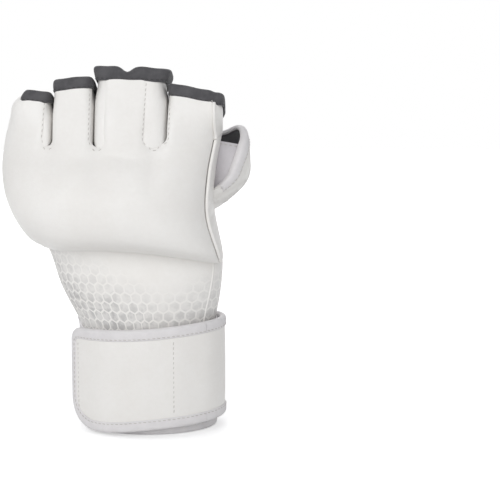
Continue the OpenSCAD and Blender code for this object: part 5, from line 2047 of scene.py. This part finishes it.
@dataclass(frozen=True)
class Studio:
    """Pale floor, soft light and the camera at the photograph's place."""

    camera_at: tuple[float, float, float] = (59.9, -691.9, 189.9)
    pan: float = 0.002385
    tilt: float = -0.116509
    focal_px: float = 1130.7
    frame_px: float = 500.0
    sensor: float = 36.0

    def build(self) -> None:
        """Sets up the stage."""
        scene = bpy.context.scene
        scene.view_settings.view_transform = "Standard"
        self._camera(scene)
        self._world(scene)
        self._floor()
        self._lamp("key_light", (-260, -1300, 650), 1100, 1100, 9.0)
        self._lamp("back_light", (-100, 1000, 800), 1000, 1000, 5.0)

    def _camera(self, scene: bpy.types.Scene) -> None:
        """Camera at the fitted place, with no shift."""
        data = bpy.data.cameras.new("camera")
        data.sensor_fit = "HORIZONTAL"
        data.sensor_width = self.sensor
        data.lens = self.sensor * self.focal_px / self.frame_px
        data.clip_start, data.clip_end = 0.01, 30
        obj = bpy.data.objects.new("camera", data)
        scene.collection.objects.link(obj)
        obj.location = [c * MM for c in self.camera_at]
        ahead = Vector((np.sin(self.pan) * np.cos(self.tilt), np.cos(self.pan) * np.cos(self.tilt), np.sin(self.tilt)))
        obj.rotation_euler = ahead.to_track_quat("-Z", "Y").to_euler()
        scene.camera = obj

    @staticmethod
    def _seen(ns: NodeSet) -> bpy.types.NodeSocket:
        """1 for a ray from the camera, a mirror or glass."""
        ray = ns.add("LightPath")
        some = ns.math("MAXIMUM", ray.outputs["Is Camera Ray"], ray.outputs["Is Glossy Ray"])
        return ns.math("MAXIMUM", some, ray.outputs["Is Transmission Ray"])

    def _world(self, scene: bpy.types.Scene) -> None:
        """Even light from all round, and a white sky for the camera."""
        world = bpy.data.worlds.new("studio")
        scene.world = world
        world.use_nodes = True
        world.node_tree.nodes.clear()
        ns = NodeSet(world.node_tree)
        light, sky = ns.add("Background"), ns.add("Background")
        light.inputs["Color"].default_value = (0.97, 0.98, 1.0, 1)
        light.inputs["Strength"].default_value = 0.52
        sky.inputs["Color"].default_value = (1, 1, 1, 1)
        sky.inputs["Strength"].default_value = 1.0
        blend, out = ns.add("MixShader"), ns.add("OutputWorld")
        ns.join(self._seen(ns), blend.inputs[0])
        ns.join(light.outputs[0], blend.inputs[1])
        ns.join(sky.outputs[0], blend.inputs[2])
        ns.join(blend.outputs[0], out.inputs["Surface"])

    def _floor(self) -> None:
        """Pale floor that keeps the glove's shadow."""
        corners = np.array([(-4000, -1500, 0), (4000, -1500, 0), (4000, 6000, 0), (-4000, 6000, 0)], float)
        floor = make_object("floor", corners, [(0, 1, 2, 3)])
        mat = bpy.data.materials.new("pale_floor")
        mat.use_nodes = True
        mat.node_tree.nodes.clear()
        ns = NodeSet(mat.node_tree)
        paint, glow = ns.add("BsdfDiffuse"), ns.add("Emission")
        place = ns.add("TexCoord").outputs["Object"]
        grain = ns.noise(place, 14.0, 2.0)
        away = ns.add("VectorMath", operation="LENGTH")
        ns.join(place, away.inputs[0])
        plain = ns.span(away.outputs["Value"], 0.2, 0.75, 0.42, 1.0)
        ns.join(ns.tint(grain, (0.86, 0.86, 0.86), (0.88, 0.88, 0.88)), paint.inputs["Color"])
        glow.inputs["Color"].default_value = (1, 1, 1, 1)
        ns.join(ns.math("MULTIPLY", self._seen(ns), plain), glow.inputs["Strength"])
        both, out = ns.add("AddShader"), ns.add("OutputMaterial")
        ns.join(paint.outputs[0], both.inputs[0])
        ns.join(glow.outputs[0], both.inputs[1])
        ns.join(both.outputs[0], out.inputs["Surface"])
        floor.data.materials.append(mat)

    @staticmethod
    def _lamp(name: str, place: tuple[float, float, float], wide: float, tall: float, watts: float) -> None:
        """Soft rectangular lamp that faces the glove."""
        data = bpy.data.lights.new(name, "AREA")
        data.shape = "RECTANGLE"
        data.size, data.size_y = wide * MM, tall * MM
        data.energy = watts
        obj = bpy.data.objects.new(name, data)
        bpy.context.scene.collection.objects.link(obj)
        obj.location = [c * MM for c in place]
        obj.rotation_euler = (Vector((0, 0, 0.11)) - obj.location).to_track_quat("-Z", "Y").to_euler()


SHEETS: tuple[tuple[str, str, str, tuple[str, ...]], ...] = (
    ("hand_back_panel", "stretched", "hand_back_lining", ()),
    ("hand_back_lining", "stretched", "hand_back_panel", ()),
    ("index_side_gusset", "stretched", "hand_back_panel", ("side_seam_piping",)),
    ("lower_palm_panel", "stretched", "cuff_seam_band", ("palm_opening_edge",)),
    ("little_side_strip", "stretched", "hand_back_panel", ("little_side_edge",)),
    ("finger_palm_band", "stretched", "hand_back_panel", ("palm_hem_edge",)),
    ("thumb_loop_panel", "stretched", "thumb_loop_lining", ("thumb_loop_edge",)),
    ("thumb_loop_lining", "stretched", "thumb_loop_panel", ()),
    ("thumb_web_panel", "stretched", "thumb_loop_panel", ()),
    ("wrist_cuff", "stretched", "cuff_seam_band", ("cuff_rim_edge",)),
    ("strap_fixed", "laid", "wrist_cuff", ("strap_fixed_upper_edge", "strap_fixed_lower_edge")),
    ("strap_hinged", "laid", "wrist_cuff", ("strap_hinged_upper_edge", "strap_hinged_lower_edge")),
    ("strap_free", "laid", "strap_fixed", ("strap_free_edge",)),
    ("loop_sheet", "laid", "wrist_cuff", ()),
    ("hook_sheet", "laid", "strap_free", ()),
    ("patch_ground", "laid", "strap_fixed", ()),
    *((f"{f.label}_stall_wall", "stretched", f"{f.label}_stall_lining", (f"{f.label}_rim_tape",)) for f in Finger),
    *((f"{f.label}_stall_lining", "stretched", f"{f.label}_stall_wall", ()) for f in Finger),
)


def declare_sheets() -> None:
    """Reads the size each piece sewn from a flat sheet was cut to; nothing is done with it."""
    for name, held, rest, trims in SHEETS:
        cut = CUTS[name]
        area = min(cut.area, cut.width * cut.length)


def main() -> None:
    """Builds the stage and every piece of the glove, in order."""
    logging.basicConfig(level=logging.INFO, format="%(message)s")
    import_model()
    Studio().build()
    wardrobe, seams = Wardrobe(), Seams()
    for part in (KnucklePad(), FingerStalls(), HandShell(), ThumbGuard(), WristCuff()):
        LOG.info("building %s", type(part).__name__)
        part.build(wardrobe, seams)
    seams.finish(wardrobe)
    declare_sheets()


if __name__ == "__main__":
    main()
